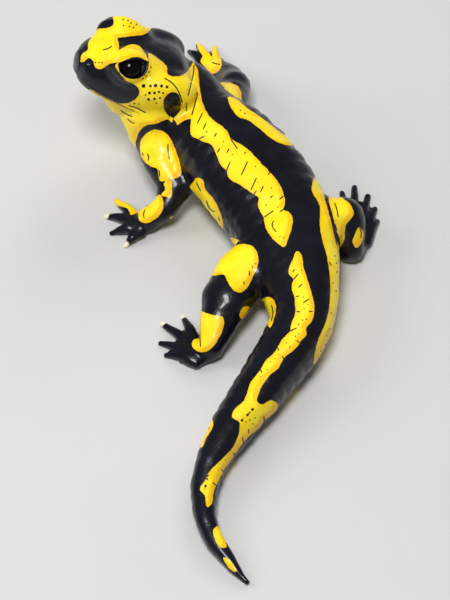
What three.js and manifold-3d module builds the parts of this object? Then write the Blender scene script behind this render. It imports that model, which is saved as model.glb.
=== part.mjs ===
import * as THREE from 'three';
import { mergeVertices } from 'three/addons/utils/BufferGeometryUtils.js';
import Module from 'manifold-3d';

// A fire salamander at life size, standing still with its head lifted and turned to its
// left, its forequarters raised on the forelegs, and its belly and tail on the floor.
// Lengths are millimetres and angles degrees. +Z is up and the floor is at z = 0.
// The landmarks are laid out on the floor plan, and MIDDLE is the plan point that becomes
// the origin.

const wasm = await Module();
wasm.setup();

const MIDDLE = new THREE.Vector3(0.62, 7.92, 0);
const GAP = 0.3; // clearance that two touching pieces keep
const WELD = 1e-4; // vertices closer than this are one
const BODY_SIDES = 24;
const TAIL_SIDES = 18;
const HEAD_SIDES = 26;
const BALL_SIDES = [16, 10]; // round the axis, and from pole to pole
const LIMB_SIDES = 12;
const DIGIT_SIDES = 8;
const BODY_BULGE = 2.25; // exponent of the oval sections: 2 is an ellipse, more is boxier

// Colours and finish of the wet skin
const BLACK = { color: 0x0a0a12, roughness: 0.32, metalness: 0 };
const YELLOW = { color: 0xf2c811, roughness: 0.34, metalness: 0 };
const EYE = { color: 0x050505, roughness: 0.08, metalness: 0 };

// The spine from the tail's tip to the shoulders: a point of the axis, then the half
// width and the reach above and below the axis
const SPINE = {
  tip: { at: [6.1, -85.6, 0.7], size: [0.5, 0.6, 0.7] },
  tail_end: { at: [3.6, -82.9, 1.2], size: [1.1, 1.1, 1.3] },
  tail_hook: { at: [0.6, -78.6, 2.0], size: [1.9, 1.9, 2.1] },
  tail_thin: { at: [-2.9, -73.2, 2.5], size: [2.5, 2.5, 2.6] },
  tail_bend: { at: [-5.0, -67.2, 3.0], size: [2.9, 3.0, 3.1] },
  tail_low: { at: [-5.4, -61.3, 3.4], size: [3.3, 3.6, 3.6] },
  tail_mid: { at: [-4.6, -54.4, 4.1], size: [3.9, 4.4, 4.4] },
  tail_high: { at: [0.3, -43.1, 5.2], size: [5.3, 5.5, 5.5] },
  tail_wide: { at: [9.2, -28.8, 6.4], size: [6.9, 6.7, 6.8] },
  tail_root: { at: [16.9, -16.3, 7.7], size: [8.0, 7.7, 8.1] },
  tail_base: { at: [20.4, -8.2, 8.3], size: [8.6, 8.3, 8.8] },
  vent: { at: [20.6, 0.4, 9.0], size: [10.2, 9.0, 9.6] },
  pelvis: { at: [17.9, 15.4, 10.2], size: [13.3, 9.9, 10.7] },
  loin: { at: [14.0, 27.9, 11.2], size: [14.6, 10.9, 11.7] },
  belly: { at: [7.3, 39.5, 12.6], size: [15.4, 11.4, 11.7] },
  ribs: { at: [-0.7, 49.7, 14.6], size: [14.4, 11.0, 11.2] },
  shoulders: { at: [-9.0, 57.9, 15.8], size: [12.2, 9.6, 10.2] },
  neck: { at: [-14.8, 62.9, 18.2], size: [14.4, 8.6, 10.8] },
  throat: { at: [-21.4, 61.8, 20.4], size: [11.8, 7.6, 10.6] },
  chin: { at: [-26.8, 62.2, 23.2], size: [7.2, 4.4, 6.8] },
};

// The head has a straight axis that runs back from the tip of the snout. Each station
// gives its distance behind the snout, then the half width and the reach above and below.
const SNOUT = new THREE.Vector3(-40.8, 63.8, 34.2);
const HEAD_YAW = 186;
const HEAD_PITCH = 21;
const HEAD_ROLL = 12; // the left side is the higher one
const HEAD_RINGS = 18;
const HEAD_STATIONS = [
  { back: 31.5, size: [5.0, 3.4, 3.8] },
  { back: 30.4, size: [9.6, 6.0, 7.0] },
  { back: 28.0, size: [12.4, 7.7, 8.6] },
  { back: 24.5, size: [13.6, 8.5, 9.2] },
  { back: 20, size: [13.7, 8.8, 9.1] },
  { back: 15, size: [12.8, 8.8, 9.2] },
  { back: 10, size: [11.2, 8.2, 8.6] },
  { back: 6, size: [9.6, 7.2, 7.7] },
  { back: 3, size: [8.0, 5.7, 6.2] },
  { back: 1.1, size: [5.8, 4.0, 4.8] },
  { back: 0.1, size: [3.5, 2.5, 3.0] },
];

// Skin folds along the body
const COSTAL_GROOVES = 12; // between the fore and hind limbs
const COSTAL_DEPTH = 0.55;
const COSTAL_STEPS = 4; // sections to a groove
const TAIL_GROOVES = 26;
const TAIL_DEPTH = 0.3;
const TAIL_STEPS = 2;
const GULAR_DEPTH = 1.0;
const NECK_STEP = 1.5;

// The mouth, as points behind the snout and above the head's axis
const MOUTH = [[-2, -3.8], [1, -3.9], [5, -4.4], [9.5, -4.8], [14, -5.5], [17.6, -6.5]];
const JAW_HINGE = [19.2, -7.8];
const THROAT_CUT = [21.0, -16];
const LIP_RADIUS = 0.55;
const LIP_STEPS = 26;

// The eyes: a place in the head (behind the snout, above and beside the axis), and the
// direction they look in, in the same three axes
const EYE_RADIUS = 4.5;
const EYE_PLACE = { back: 12.0, up: 5.5, side: 7.8 };
const EYE_LOOK = { back: -0.2, up: 0.48, side: 0.85 };
const LID_THICKNESS = 0.75;
const LID_OPENING = { half: 3.8, upper: 2.3, lower: 2.5, tilt: 8 };
const BROW = { back: 12.5, up: 6.9, side: 8.1, radii: [7.8, 4.0, 4.8] };
const PAROTOID = { back: 23.6, up: 2.4, side: 10.4, radii: [9.0, 5.4, 5.2] };
const NOSTRIL = { back: 1.9, up: 3.0, side: 5.5, radii: [0.65, 0.55, 0.9] };

// Limbs: points of the axis from the root inside the body to the wrist or ankle, of which
// the third is the elbow or knee, then the palm and the ends of the digits on the floor
const FORE_THICK = [[9.2, 7.8], [5.3, 4.9], [4.3, 4.1], [3.7, 3.5], [3.1, 2.8]];
const HIND_THICK = [[7.6, 6.8], [6.9, 6.1], [5.4, 5.0], [4.6, 4.3], [3.3, 3.1]];
const BENT_HIND_THICK = [[7.8, 6.8], [7.8, 6.4], [6.5, 5.4], [5.0, 4.4], [3.7, 3.2]];
const LIMBS = {
  left_fore: {
    thick: FORE_THICK,
    path: [
      [-17.6, 54.0, 13.0], [-17.5, 46.2, 12.0], [-13.7, 39.4, 8.8],
      [-16.8, 34.2, 6.2], [-21.3, 32.4, 3.6],
    ],
    palm: [-24.4, 31.6, 1.6],
    tips: [[-30.6, 41.2], [-33.2, 35.6], [-31.6, 29.6], [-27.6, 25.0]],
  },
  right_fore: {
    thick: FORE_THICK,
    path: [
      [-4.5, 62.5, 14.0], [1.3, 69.8, 11.4], [2.6, 77.4, 8.6],
      [1.0, 83.6, 6.0], [-2.2, 88.8, 3.6],
    ],
    palm: [-4.0, 92.2, 1.6],
    tips: [[-10.4, 98.6], [-7.8, 101.0], [-3.0, 100.2], [-0.6, 93.8]],
  },
  left_hind: {
    thick: BENT_HIND_THICK,
    path: [
      [14.5, 14.0, 9.8], [5.6, 8.2, 9.4], [0.4, -0.2, 8.4],
      [-1.8, -6.8, 6.4], [-3.7, -12.4, 4.0],
    ],
    palm: [-7.6, -13.4, 1.6],
    tips: [[-11.4, -0.1], [-16.9, -2.4], [-17.4, -9.0], [-15.8, -13.0], [-11.6, -15.0]],
  },
  right_hind: {
    thick: HIND_THICK,
    path: [
      [21.5, 20.5, 9.8], [28.2, 25.4, 10.4], [32.8, 27.2, 10.2],
      [34.4, 24.0, 7.6], [34.8, 20.8, 4.4],
    ],
    palm: [36.8, 27.4, 1.6],
    tips: [[33.0, 44.2], [36.6, 46.2], [40.3, 42.9], [42.1, 38.4], [42.6, 33.8]],
  },
};
const LIMB_STEPS = 5;
const DIGIT_STEPS = 4;
const DOME_ANGLES = [0.6, 1.15]; // radians from the last full ring towards the pole
const PALM_SIZE = [3.7, 1.9];
const HEEL_SIZE = [3.1, 2.4];
const HEEL_HEIGHT = 2.2;
const SOLE_FRONT = { reach: 2.2, size: [3.1, 1.5] };
const DIGIT_SPREAD = 0.75; // share of the palm's half width where the outer digits root
const DIGIT_SIZES = [[2.0, 1.4], [1.4, 1.2], [0.75, 0.7]];
const KNUCKLE_HEIGHT = 1.7;
const TIP_SINK = 0.6; // height of a digit's end, as a share of its thickness

const vector = (list) => new THREE.Vector3(...list);
const radians = THREE.MathUtils.degToRad;

// ---------------------------------------------------------------- closed solids

function toSolid(geometry) {
  const bare = geometry.clone();
  bare.deleteAttribute('normal');
  bare.deleteAttribute('uv');
  const merged = mergeVertices(bare, WELD);
  return new wasm.Manifold(new wasm.Mesh({
    numProp: 3,
    vertProperties: new Float32Array(merged.attributes.position.array),
    triVerts: new Uint32Array(merged.index.array),
  }));
}

// The largest closed surface of a solid, as a named mesh
function toMesh(name, solid, finish) {
  const bodies = solid.decompose();
  bodies.sort((first, second) => second.volume() - first.volume());
  const { vertProperties, triVerts } = bodies[0].getMesh();
  const geometry = new THREE.BufferGeometry();
  geometry.setAttribute('position', new THREE.BufferAttribute(vertProperties, 3));
  geometry.setIndex(new THREE.BufferAttribute(triVerts, 1));
  geometry.computeVertexNormals();
  const mesh = new THREE.Mesh(geometry, new THREE.MeshStandardMaterial(finish));
  mesh.name = name;
  return mesh;
}

// A closed solid through rings of equal length, each counted anticlockwise as seen from
// the front
function loft(rings) {
  const sides = rings[0].length;
  const points = rings.flat();
  const triangles = [];
  const cap = (ring, start, forwards) => {
    const middle = points.length;
    points.push(ring.reduce((sum, point) => sum.add(point), new THREE.Vector3()).divideScalar(sides));
    for (let side = 0; side < sides; side += 1) {
      const edge = [start + side, start + ((side + 1) % sides)];
      triangles.push(middle, ...(forwards ? edge : edge.reverse()));
    }
  };
  for (let row = 0; row + 1 < rings.length; row += 1) {
    for (let side = 0; side < sides; side += 1) {
      const here = row * sides + side;
      const beside = row * sides + ((side + 1) % sides);
      triangles.push(here, beside, here + sides);
      triangles.push(beside, beside + sides, here + sides);
    }
  }
  cap(rings[0], 0, false);
  cap(rings[rings.length - 1], (rings.length - 1) * sides, true);
  const geometry = new THREE.BufferGeometry().setFromPoints(points);
  geometry.setIndex(triangles);
  return toSolid(geometry);
}

// An oval ring in the plane across a frame's forward axis, kept above the floor
function ovalRing(frame, [wide, up, down], sides, bulge, fold = () => 0) {
  const ring = [];
  for (let side = 0; side < sides; side += 1) {
    const angle = (2 * Math.PI * side) / sides;
    const [across, above] = [Math.cos(angle), Math.sin(angle)];
    const round = (value) => Math.sign(value) * Math.abs(value) ** (2 / bulge);
    const drawn = 1 - fold(across, above) / wide;
    const left = round(across) * wide * drawn;
    const height = round(above) * (above > 0 ? up : down) * drawn;
    const point = new THREE.Vector3(0, left, height).applyQuaternion(frame.turn).add(frame.centre);
    point.z = Math.max(point.z, 0);
    ring.push(point);
  }
  return ring;
}

// The turn whose local X runs forward, Y to the left and Z up
function facing(forward, upright = new THREE.Vector3(0, 0, 1)) {
  const left = new THREE.Vector3().crossVectors(upright, forward).normalize();
  const up = new THREE.Vector3().crossVectors(forward, left).normalize();
  return new THREE.Quaternion().setFromRotationMatrix(new THREE.Matrix4().makeBasis(forward, left, up));
}

// ---------------------------------------------------------------- the spine

const headTurn = new THREE.Quaternion()
  .setFromAxisAngle(new THREE.Vector3(0, 0, 1), radians(HEAD_YAW))
  .multiply(new THREE.Quaternion().setFromAxisAngle(new THREE.Vector3(0, 1, 0), radians(-HEAD_PITCH)))
  .multiply(new THREE.Quaternion().setFromAxisAngle(new THREE.Vector3(1, 0, 0), radians(HEAD_ROLL)));

// A point of the head from its distances behind the snout, above the axis and to the left
function headPoint(back, up, side) {
  return new THREE.Vector3(-back, side, up).applyQuaternion(headTurn).add(SNOUT);
}

const bodyPoints = Object.values(SPINE).map(({ at }) => vector(at));
const stations = Object.values(SPINE).map(({ size }, place) => {
  const behind = bodyPoints[Math.max(place - 1, 0)];
  const ahead = bodyPoints[Math.min(place + 1, bodyPoints.length - 1)];
  return {
    centre: bodyPoints[place],
    turn: facing(new THREE.Vector3().subVectors(ahead, behind).normalize()),
    size: vector(size),
  };
});

const spans = stations.length - 1;
const spinePath = new THREE.CatmullRomCurve3(stations.map(({ centre }) => centre));
const spineSizes = new THREE.CatmullRomCurve3(stations.map(({ size }) => size));
const SPAN_PARTS = 40;
spinePath.arcLengthDivisions = SPAN_PARTS * spans;
const spineLengths = spinePath.getLengths(spinePath.arcLengthDivisions);
const spineLength = spineLengths[spineLengths.length - 1];

const distanceTo = (name) => spineLengths[Object.keys(SPINE).indexOf(name) * SPAN_PARTS];

function spineAt(distance) {
  const place = spinePath.getUtoTmapping(distance / spineLength) * spans;
  const behind = Math.min(Math.floor(place), spans - 1);
  const share = place - behind;
  return {
    centre: spinePath.getPoint(place / spans),
    turn: stations[behind].turn.clone().slerp(stations[behind + 1].turn, share),
    size: spineSizes.getPoint(place / spans).toArray(),
  };
}

// How far the skin is drawn in at a distance along the spine: costal grooves down the
// flanks, rings round the tail and the fold across the throat
const ribStart = distanceTo('pelvis');
const ribEnd = distanceTo('shoulders');
const costalPitch = (ribEnd - ribStart) / COSTAL_GROOVES;
const tailPitch = ribStart / TAIL_GROOVES;
const gularDistance = (ribEnd + distanceTo('neck')) / 2;

function foldAt(distance) {
  const notch = (from, pitch) => Math.max(0, Math.cos((2 * Math.PI * (distance - from)) / pitch));
  if (distance > ribEnd) {
    const near = Math.max(0, 1 - Math.abs(distance - gularDistance) / 2.4);
    return (across, above) => GULAR_DEPTH * near * Math.max(0, 0.6 - above);
  }
  if (distance > ribStart) {
    return (across) => COSTAL_DEPTH * notch(ribStart, costalPitch) ** 2 * across ** 2;
  }
  const fade = Math.min(1, distance / (ribStart / 2));
  return (across) => TAIL_DEPTH * fade * notch(0, tailPitch) * (0.4 + 0.6 * across ** 2);
}

function spineLoft(from, to, steps, sides, grow = 0) {
  const rings = [];
  for (let step = 0; step <= steps; step += 1) {
    const distance = from + ((to - from) * step) / steps;
    const frame = spineAt(distance);
    const size = frame.size.map((value) => value + grow);
    rings.push(ovalRing(frame, size, sides, BODY_BULGE, grow ? undefined : foldAt(distance)));
  }
  return loft(rings);
}

const grownSpine = spineLoft(distanceTo('tail_wide'), spineLength, 60, BODY_SIDES, GAP);
const grownTrunk = spineLoft(distanceTo('belly'), ribEnd, 12, BODY_SIDES, GAP);

// ---------------------------------------------------------------- trunk, neck and tail

const salamander = new THREE.Group();
const addPiece = (name, solid, finish) => salamander.add(toMesh(name, solid, finish));

const costalStep = costalPitch / COSTAL_STEPS;
const tailStep = tailPitch / TAIL_STEPS;
const LENGTHS = {
  tail_tip: ['tip', 'tail_low', tailStep, TAIL_SIDES],
  tail_end: ['tail_low', 'tail_high', tailStep, TAIL_SIDES],
  tail_middle: ['tail_high', 'tail_root', tailStep, TAIL_SIDES],
  tail_root: ['tail_root', 'vent', tailStep, BODY_SIDES],
  trunk_hip: ['vent', 'pelvis', tailStep, BODY_SIDES],
  trunk_loin: ['pelvis', 'belly', costalStep, BODY_SIDES],
  trunk_chest: ['belly', 'shoulders', costalStep, BODY_SIDES],
};

for (const [name, [rear, front, step, sides]] of Object.entries(LENGTHS)) {
  const [from, to] = [distanceTo(rear) + GAP / 2, distanceTo(front) - GAP / 2];
  addPiece(name, spineLoft(from, to, Math.round((to - from) / step), sides), BLACK);
}

// ---------------------------------------------------------------- the head

const profileAxes = new THREE.Matrix4().makeBasis(
  new THREE.Vector3(-1, 0, 0).applyQuaternion(headTurn),
  new THREE.Vector3(0, 0, 1).applyQuaternion(headTurn),
  new THREE.Vector3(0, 1, 0).applyQuaternion(headTurn),
).setPosition(SNOUT);

// An outline in the head's profile, cut right through from side to side
function profileBlock(outline) {
  const reach = 40;
  const shape = new THREE.Shape(outline.map(([back, up]) => new THREE.Vector2(back, up)));
  const block = new THREE.ExtrudeGeometry(shape, { depth: reach, bevelEnabled: false });
  return toSolid(block.translate(0, 0, -reach / 2).applyMatrix4(profileAxes));
}

// The block under the mouth line that holds the lower jaw, grown by a margin
function jawBlock(margin) {
  const top = [...MOUTH, JAW_HINGE].map(([back, up]) => [back, up + margin]);
  const [hinge, up] = THROAT_CUT;
  return profileBlock([...top, [hinge + margin, up], [MOUTH[0][0], up]]);
}

function ellipsoid({ back, up, side, radii }, mirror, grow = 0) {
  const ball = new THREE.SphereGeometry(1, ...BALL_SIDES).scale(...radii.map((radius) => radius + grow));
  return toSolid(ball.translate(back, up, mirror * side).applyMatrix4(profileAxes));
}

// The head's half width and its reach above and below, at a distance behind the snout
const headPlaces = new THREE.CatmullRomCurve3(HEAD_STATIONS.map(({ back }) => new THREE.Vector3(back, 0, 0)));
const headSizes = new THREE.CatmullRomCurve3(HEAD_STATIONS.map(({ size }) => vector(size)));

function headSizeAt(back) {
  let [rear, front] = [0, 1];
  while (front - rear > 1e-5) {
    const middle = (rear + front) / 2;
    if (headPlaces.getPoint(middle).x > back) rear = middle;
    else front = middle;
  }
  return headSizes.getPoint(rear).toArray();
}

function headLoft(grow) {
  const rings = [];
  const [rear, front] = [HEAD_STATIONS[0].back, HEAD_STATIONS[HEAD_STATIONS.length - 1].back];
  const [middle, half] = [(rear + front) / 2, (rear - front) / 2];
  for (let step = 0; step <= HEAD_RINGS; step += 1) {
    const along = Math.cos((Math.PI * step) / HEAD_RINGS);
    const size = headSizeAt(middle + half * along).map((value) => value + grow);
    const back = middle + (half + grow) * along;
    rings.push(ovalRing({ centre: headPoint(back, 0, 0), turn: headTurn }, size, HEAD_SIDES, BODY_BULGE));
  }
  return loft(rings);
}

const mouthCurve = new THREE.SplineCurve(MOUTH.map(([back, up]) => new THREE.Vector2(back, up)));

// Half the head's width at a point of its profile
function halfWidthAt(back, up) {
  const [wide, above, below] = headSizeAt(back);
  const share = Math.min(1, Math.abs(up) / (up > 0 ? above : below));
  return wide * (1 - share ** BODY_BULGE) ** (1 / BODY_BULGE);
}

// A rounded lip that follows the mouth from corner to corner round the snout
function lip(shift, grow = 0) {
  const side = [];
  for (let step = 0; step <= 8; step += 1) {
    const { x: back, y: up } = mouthCurve.getPoint(0.22 + (0.7 * step) / 8);
    side.push([Math.max(back, 0.6), up + shift]);
  }
  const onHead = (mirror) => ([back, up]) => headPoint(back, up, mirror * (halfWidthAt(back, up) - 0.15));
  const path = [...side.map(onHead(1)).reverse(), ...side.map(onHead(-1))];
  const round = new THREE.Shape().absarc(0, 0, LIP_RADIUS + grow, 0, 2 * Math.PI);
  const tube = new THREE.ExtrudeGeometry(round, {
    curveSegments: 3, steps: LIP_STEPS, bevelEnabled: false, extrudePath: new THREE.CatmullRomCurve3(path),
  });
  return toSolid(tube);
}

// The eye's own axes: local Z looks out of the head, X runs back and Y up
function eyeAxes(mirror) {
  const look = headPoint(EYE_LOOK.back, EYE_LOOK.up, mirror * EYE_LOOK.side).sub(SNOUT).normalize();
  const up = headPoint(0, 1, 0).sub(SNOUT);
  const back = new THREE.Vector3().crossVectors(up, look).normalize();
  const upright = new THREE.Vector3().crossVectors(look, back);
  const centre = headPoint(EYE_PLACE.back, EYE_PLACE.up, mirror * EYE_PLACE.side);
  return new THREE.Matrix4().makeBasis(back, upright, look).setPosition(centre);
}

function ballAt(axes, radius) {
  return toSolid(new THREE.SphereGeometry(radius, ...BALL_SIDES).rotateX(Math.PI / 2).applyMatrix4(axes));
}

// The slit between the lids: an almond, cut outwards from the eye's centre
function lidSlit(axes, mirror) {
  const { half, upper, lower, tilt } = LID_OPENING;
  const almond = new THREE.Shape();
  const steps = 7;
  for (let step = 0; step < 2 * steps; step += 1) {
    const angle = (Math.PI * step) / steps;
    const height = Math.sin(angle) * (Math.sin(angle) > 0 ? upper : lower);
    const point = new THREE.Vector2(half * Math.cos(angle), height);
    point.rotateAround(new THREE.Vector2(), mirror * radians(tilt));
    if (step === 0) almond.moveTo(point.x, point.y);
    else almond.lineTo(point.x, point.y);
  }
  almond.closePath();
  const slit = new THREE.ExtrudeGeometry(almond, { depth: 3 * EYE_RADIUS, bevelEnabled: false });
  return toSolid(slit.applyMatrix4(axes));
}

// The head's round form with its brows and parotoid glands
function headForm(grow) {
  let form = headLoft(grow);
  for (const mirror of [1, -1]) {
    form = form.add(ellipsoid(BROW, mirror, grow)).add(ellipsoid(PAROTOID, mirror, grow));
  }
  return form;
}

const grownHead = headForm(GAP).add(lip(LIP_RADIUS, GAP)).add(lip(-LIP_RADIUS, GAP));
const grownBody = grownSpine.add(grownHead);

function buildNeck() {
  const from = ribEnd + GAP / 2;
  const steps = Math.round((spineLength - from) / NECK_STEP);
  addPiece('neck', spineLoft(from, spineLength, steps, BODY_SIDES).subtract(grownHead), BLACK);
}

function buildHead() {
  let head = headForm(0).add(lip(LIP_RADIUS));
  for (const mirror of [1, -1]) {
    const axes = eyeAxes(mirror);
    head = head.add(ballAt(axes, EYE_RADIUS + GAP + LID_THICKNESS));
    head = head.subtract(ballAt(axes, EYE_RADIUS + GAP)).subtract(lidSlit(axes, mirror));
    head = head.subtract(ellipsoid(NOSTRIL, mirror));
  }
  const jaw = headLoft(0).add(lip(-LIP_RADIUS)).intersect(jawBlock(0));
  addPiece('head', head.subtract(jawBlock(GAP)).subtract(grownTrunk), BLACK);
  addPiece('lower_jaw', jaw.subtract(grownTrunk), YELLOW);
  for (const [mirror, name] of [[1, 'eye_left'], [-1, 'eye_right']]) {
    addPiece(name, ballAt(eyeAxes(mirror), EYE_RADIUS), EYE);
  }
}

buildNeck();
buildHead();

// ---------------------------------------------------------------- limbs

// A closed tube along a smooth path, with round ends where they are asked for. Each size
// is a half width and a half height.
function sweep({ path, sizes, steps, sides, domes: [domedStart, domedEnd], grow = 0 }) {
  const curve = new THREE.CatmullRomCurve3(path);
  const girth = new THREE.CatmullRomCurve3(sizes.map(([wide, high]) => new THREE.Vector3(wide, high, high)));
  const rings = [];
  const ringAt = (share, angle = 0) => {
    const forward = curve.getTangent(share);
    const size = girth.getPoint(share).addScalar(grow);
    const centre = curve.getPoint(share).addScaledVector(forward, size.y * Math.sin(angle));
    const section = size.multiplyScalar(Math.cos(angle)).toArray();
    rings.push(ovalRing({ centre, turn: facing(forward) }, section, sides, 2));
  };
  if (domedStart) for (const angle of [...DOME_ANGLES].reverse()) ringAt(0, -angle);
  for (let step = 0; step <= steps; step += 1) ringAt(step / steps);
  if (domedEnd) for (const angle of DOME_ANGLES) ringAt(1, angle);
  return loft(rings);
}

// A digit from its place across the palm, which runs from -1 to 1, to its end on the floor
function buildDigit(palm, across, place, tip) {
  const root = palm.clone().addScaledVector(across, place * PALM_SIZE[0] * DIGIT_SPREAD);
  const end = vector([...tip, DIGIT_SIZES[2][1] * TIP_SINK]);
  const knuckle = root.clone().lerp(end, 0.5).setZ(KNUCKLE_HEIGHT);
  return sweep({
    path: [root, knuckle, end],
    sizes: DIGIT_SIZES,
    steps: DIGIT_STEPS,
    sides: DIGIT_SIDES,
    domes: [false, true],
  });
}

function buildFoot({ path, palm, tips }) {
  const heel = vector(path[path.length - 1]).setZ(HEEL_HEIGHT);
  const centre = vector(palm);
  const ahead = new THREE.Vector3().subVectors(centre, heel).setZ(0).normalize();
  const front = centre.clone().addScaledVector(ahead, SOLE_FRONT.reach);
  let foot = sweep({
    path: [heel, centre, front],
    sizes: [HEEL_SIZE, PALM_SIZE, SOLE_FRONT.size],
    steps: LIMB_STEPS,
    sides: LIMB_SIDES,
    domes: [true, true],
  });
  const [first, last] = [tips[0], tips[tips.length - 1]].map((tip) => vector([...tip, 0]));
  const across = last.sub(first).normalize();
  tips.forEach((tip, digit) => {
    foot = foot.add(buildDigit(centre, across, (2 * digit) / (tips.length - 1) - 1, tip));
  });
  return foot;
}

// The two lengths of a limb meet in half balls, trimmed by a plane across the bend
function buildLimb(name, limb, [upperName, lowerName, footName]) {
  const path = limb.path.map(vector);
  const bend = path[2];
  const tube = { steps: LIMB_STEPS, sides: LIMB_SIDES };
  const upper = { ...tube, path: path.slice(0, 3), sizes: limb.thick.slice(0, 3), domes: [false, true] };
  const lower = { ...tube, path: path.slice(2), sizes: limb.thick.slice(2), domes: [true, true] };
  const before = new THREE.Vector3().subVectors(bend, path[1]).normalize();
  const after = new THREE.Vector3().subVectors(path[3], bend).normalize();
  const across = before.add(after).normalize();
  const place = across.dot(bend);
  const upperLength = sweep(upper).trimByPlane(across.clone().negate().toArray(), GAP / 2 - place);
  const lowerLength = sweep(lower).trimByPlane(across.toArray(), GAP / 2 + place);
  const grownLimb = sweep({ ...upper, grow: GAP }).add(sweep({ ...lower, grow: GAP }));
  addPiece(`${name}_${upperName}`, upperLength.subtract(grownBody), BLACK);
  addPiece(`${name}_${lowerName}`, lowerLength.subtract(grownBody), BLACK);
  addPiece(`${name}_${footName}`, buildFoot(limb).subtract(grownLimb).subtract(grownBody), BLACK);
}

const FORE_NAMES = ['upper_arm', 'forearm', 'hand'];
const HIND_NAMES = ['thigh', 'shank', 'foot'];
for (const [name, limb] of Object.entries(LIMBS)) {
  buildLimb(name, limb, name.endsWith('fore') ? FORE_NAMES : HIND_NAMES);
}

salamander.position.copy(MIDDLE).negate();

export default salamander;
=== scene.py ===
import math

import bmesh
import bpy
import numpy as np
from mathutils import Matrix, Vector


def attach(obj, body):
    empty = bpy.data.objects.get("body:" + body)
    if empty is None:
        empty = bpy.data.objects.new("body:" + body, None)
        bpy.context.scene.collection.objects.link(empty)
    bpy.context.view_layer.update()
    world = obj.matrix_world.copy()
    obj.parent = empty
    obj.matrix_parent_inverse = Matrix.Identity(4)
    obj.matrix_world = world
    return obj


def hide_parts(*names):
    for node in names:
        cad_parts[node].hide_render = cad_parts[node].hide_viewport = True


# A fire salamander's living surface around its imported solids: one skin over all the flesh,
# two eyes, their finishes, and a plain studio. The skin is shaped in millimetres on the
# floor plan on which the animal was laid out, whose point PLAN_MIDDLE is the frame's origin.

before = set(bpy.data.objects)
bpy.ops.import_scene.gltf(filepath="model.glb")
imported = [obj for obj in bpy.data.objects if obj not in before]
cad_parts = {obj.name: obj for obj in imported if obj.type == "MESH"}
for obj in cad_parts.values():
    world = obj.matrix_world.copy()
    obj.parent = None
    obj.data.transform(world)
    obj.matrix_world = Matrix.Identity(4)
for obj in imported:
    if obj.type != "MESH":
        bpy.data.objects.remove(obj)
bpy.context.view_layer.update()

MM = 0.001
PLAN_MIDDLE = np.array([0.62, 7.92, 0.0])
UPRIGHT = np.array([0.0, 0.0, 1.0])
TINY = 1e-6  # keeps a divisor above zero

# The spine from the tail's tip to the chin: a point of the axis, then the half width and
# the reach above and below the axis
SPINE = {
    "tip": ((6.1, -85.6, 0.7), (0.5, 0.6, 0.7)),
    "tail_end": ((3.6, -82.9, 1.2), (1.1, 1.1, 1.3)),
    "tail_hook": ((0.6, -78.6, 2.0), (1.9, 1.9, 2.1)),
    "tail_thin": ((-2.9, -73.2, 2.5), (2.5, 2.5, 2.6)),
    "tail_bend": ((-5.0, -67.2, 3.0), (2.9, 3.0, 3.1)),
    "tail_low": ((-5.4, -61.3, 3.4), (3.3, 3.6, 3.6)),
    "tail_mid": ((-4.6, -54.4, 4.1), (3.9, 4.4, 4.4)),
    "tail_high": ((0.3, -43.1, 5.2), (5.3, 5.5, 5.5)),
    "tail_wide": ((9.2, -28.8, 6.4), (6.9, 6.7, 6.8)),
    "tail_root": ((16.9, -16.3, 7.7), (8.0, 7.7, 8.1)),
    "tail_base": ((20.4, -8.2, 8.3), (8.6, 8.3, 8.8)),
    "vent": ((20.6, 0.4, 9.0), (10.2, 9.0, 9.6)),
    "pelvis": ((17.9, 15.4, 10.2), (13.3, 9.9, 10.7)),
    "loin": ((14.0, 27.9, 11.2), (14.6, 10.9, 11.7)),
    "belly": ((7.3, 39.5, 12.6), (15.4, 11.4, 11.7)),
    "ribs": ((-0.7, 49.7, 14.6), (14.4, 11.0, 11.2)),
    "shoulders": ((-9.0, 57.9, 15.8), (12.2, 9.6, 10.2)),
    "neck": ((-14.8, 62.9, 18.2), (14.4, 8.6, 10.8)),
    "throat": ((-21.4, 61.8, 20.4), (11.8, 7.6, 10.6)),
    "chin": ((-26.8, 62.2, 23.2), (7.2, 4.4, 6.8)),
}
BODY_BULGE = 2.25  # exponent of the oval sections: 2 is an ellipse, more is boxier
CURVE_STEPS = 20  # samples of a curve between two of its points

# The head's straight axis runs back from the snout: a distance behind it, then the half
# width and the reach above and below
SNOUT = np.array([-40.8, 63.8, 34.2])
HEAD_TURNS = ((186, "Z"), (-21, "Y"), (12, "X"))
HEAD = [
    (31.5, (5.0, 3.4, 3.8)),
    (30.4, (9.6, 6.0, 7.0)),
    (28.0, (12.4, 7.7, 8.6)),
    (24.5, (13.6, 8.5, 9.2)),
    (20.0, (13.7, 8.8, 9.1)),
    (15.0, (12.8, 8.8, 9.2)),
    (10.0, (11.2, 8.2, 8.6)),
    (6.0, (9.6, 7.2, 7.7)),
    (3.0, (8.0, 5.7, 6.2)),
    (1.1, (5.8, 4.0, 4.8)),
    (0.1, (3.5, 2.5, 3.0)),
]
SNOUT_CAP = 0.7
MOUTH = [(-2, -3.8), (1, -3.9), (5, -4.4), (9.5, -4.8), (14, -5.5), (17.6, -6.5), (19.2, -7.8)]
MOUTH_END = 18.4
MOUTH_FADE = (1, -1.2)
MOUTH_LINE_FADE = (0.6, -0.6)
MOUTH_FLOOR = -9
MOUTH_GROOVE = {"depth": 0.55, "half": 0.28}
LIPS = [(0.34, 0.85, 0.6), (0.26, -0.75, 0.5)]  # swelling, height over the mouth's line, half width
JAW_TUCK = {"depth": 0.3, "starts": (0.0, -0.9), "ends": (-5.0, -2.0)}

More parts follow.
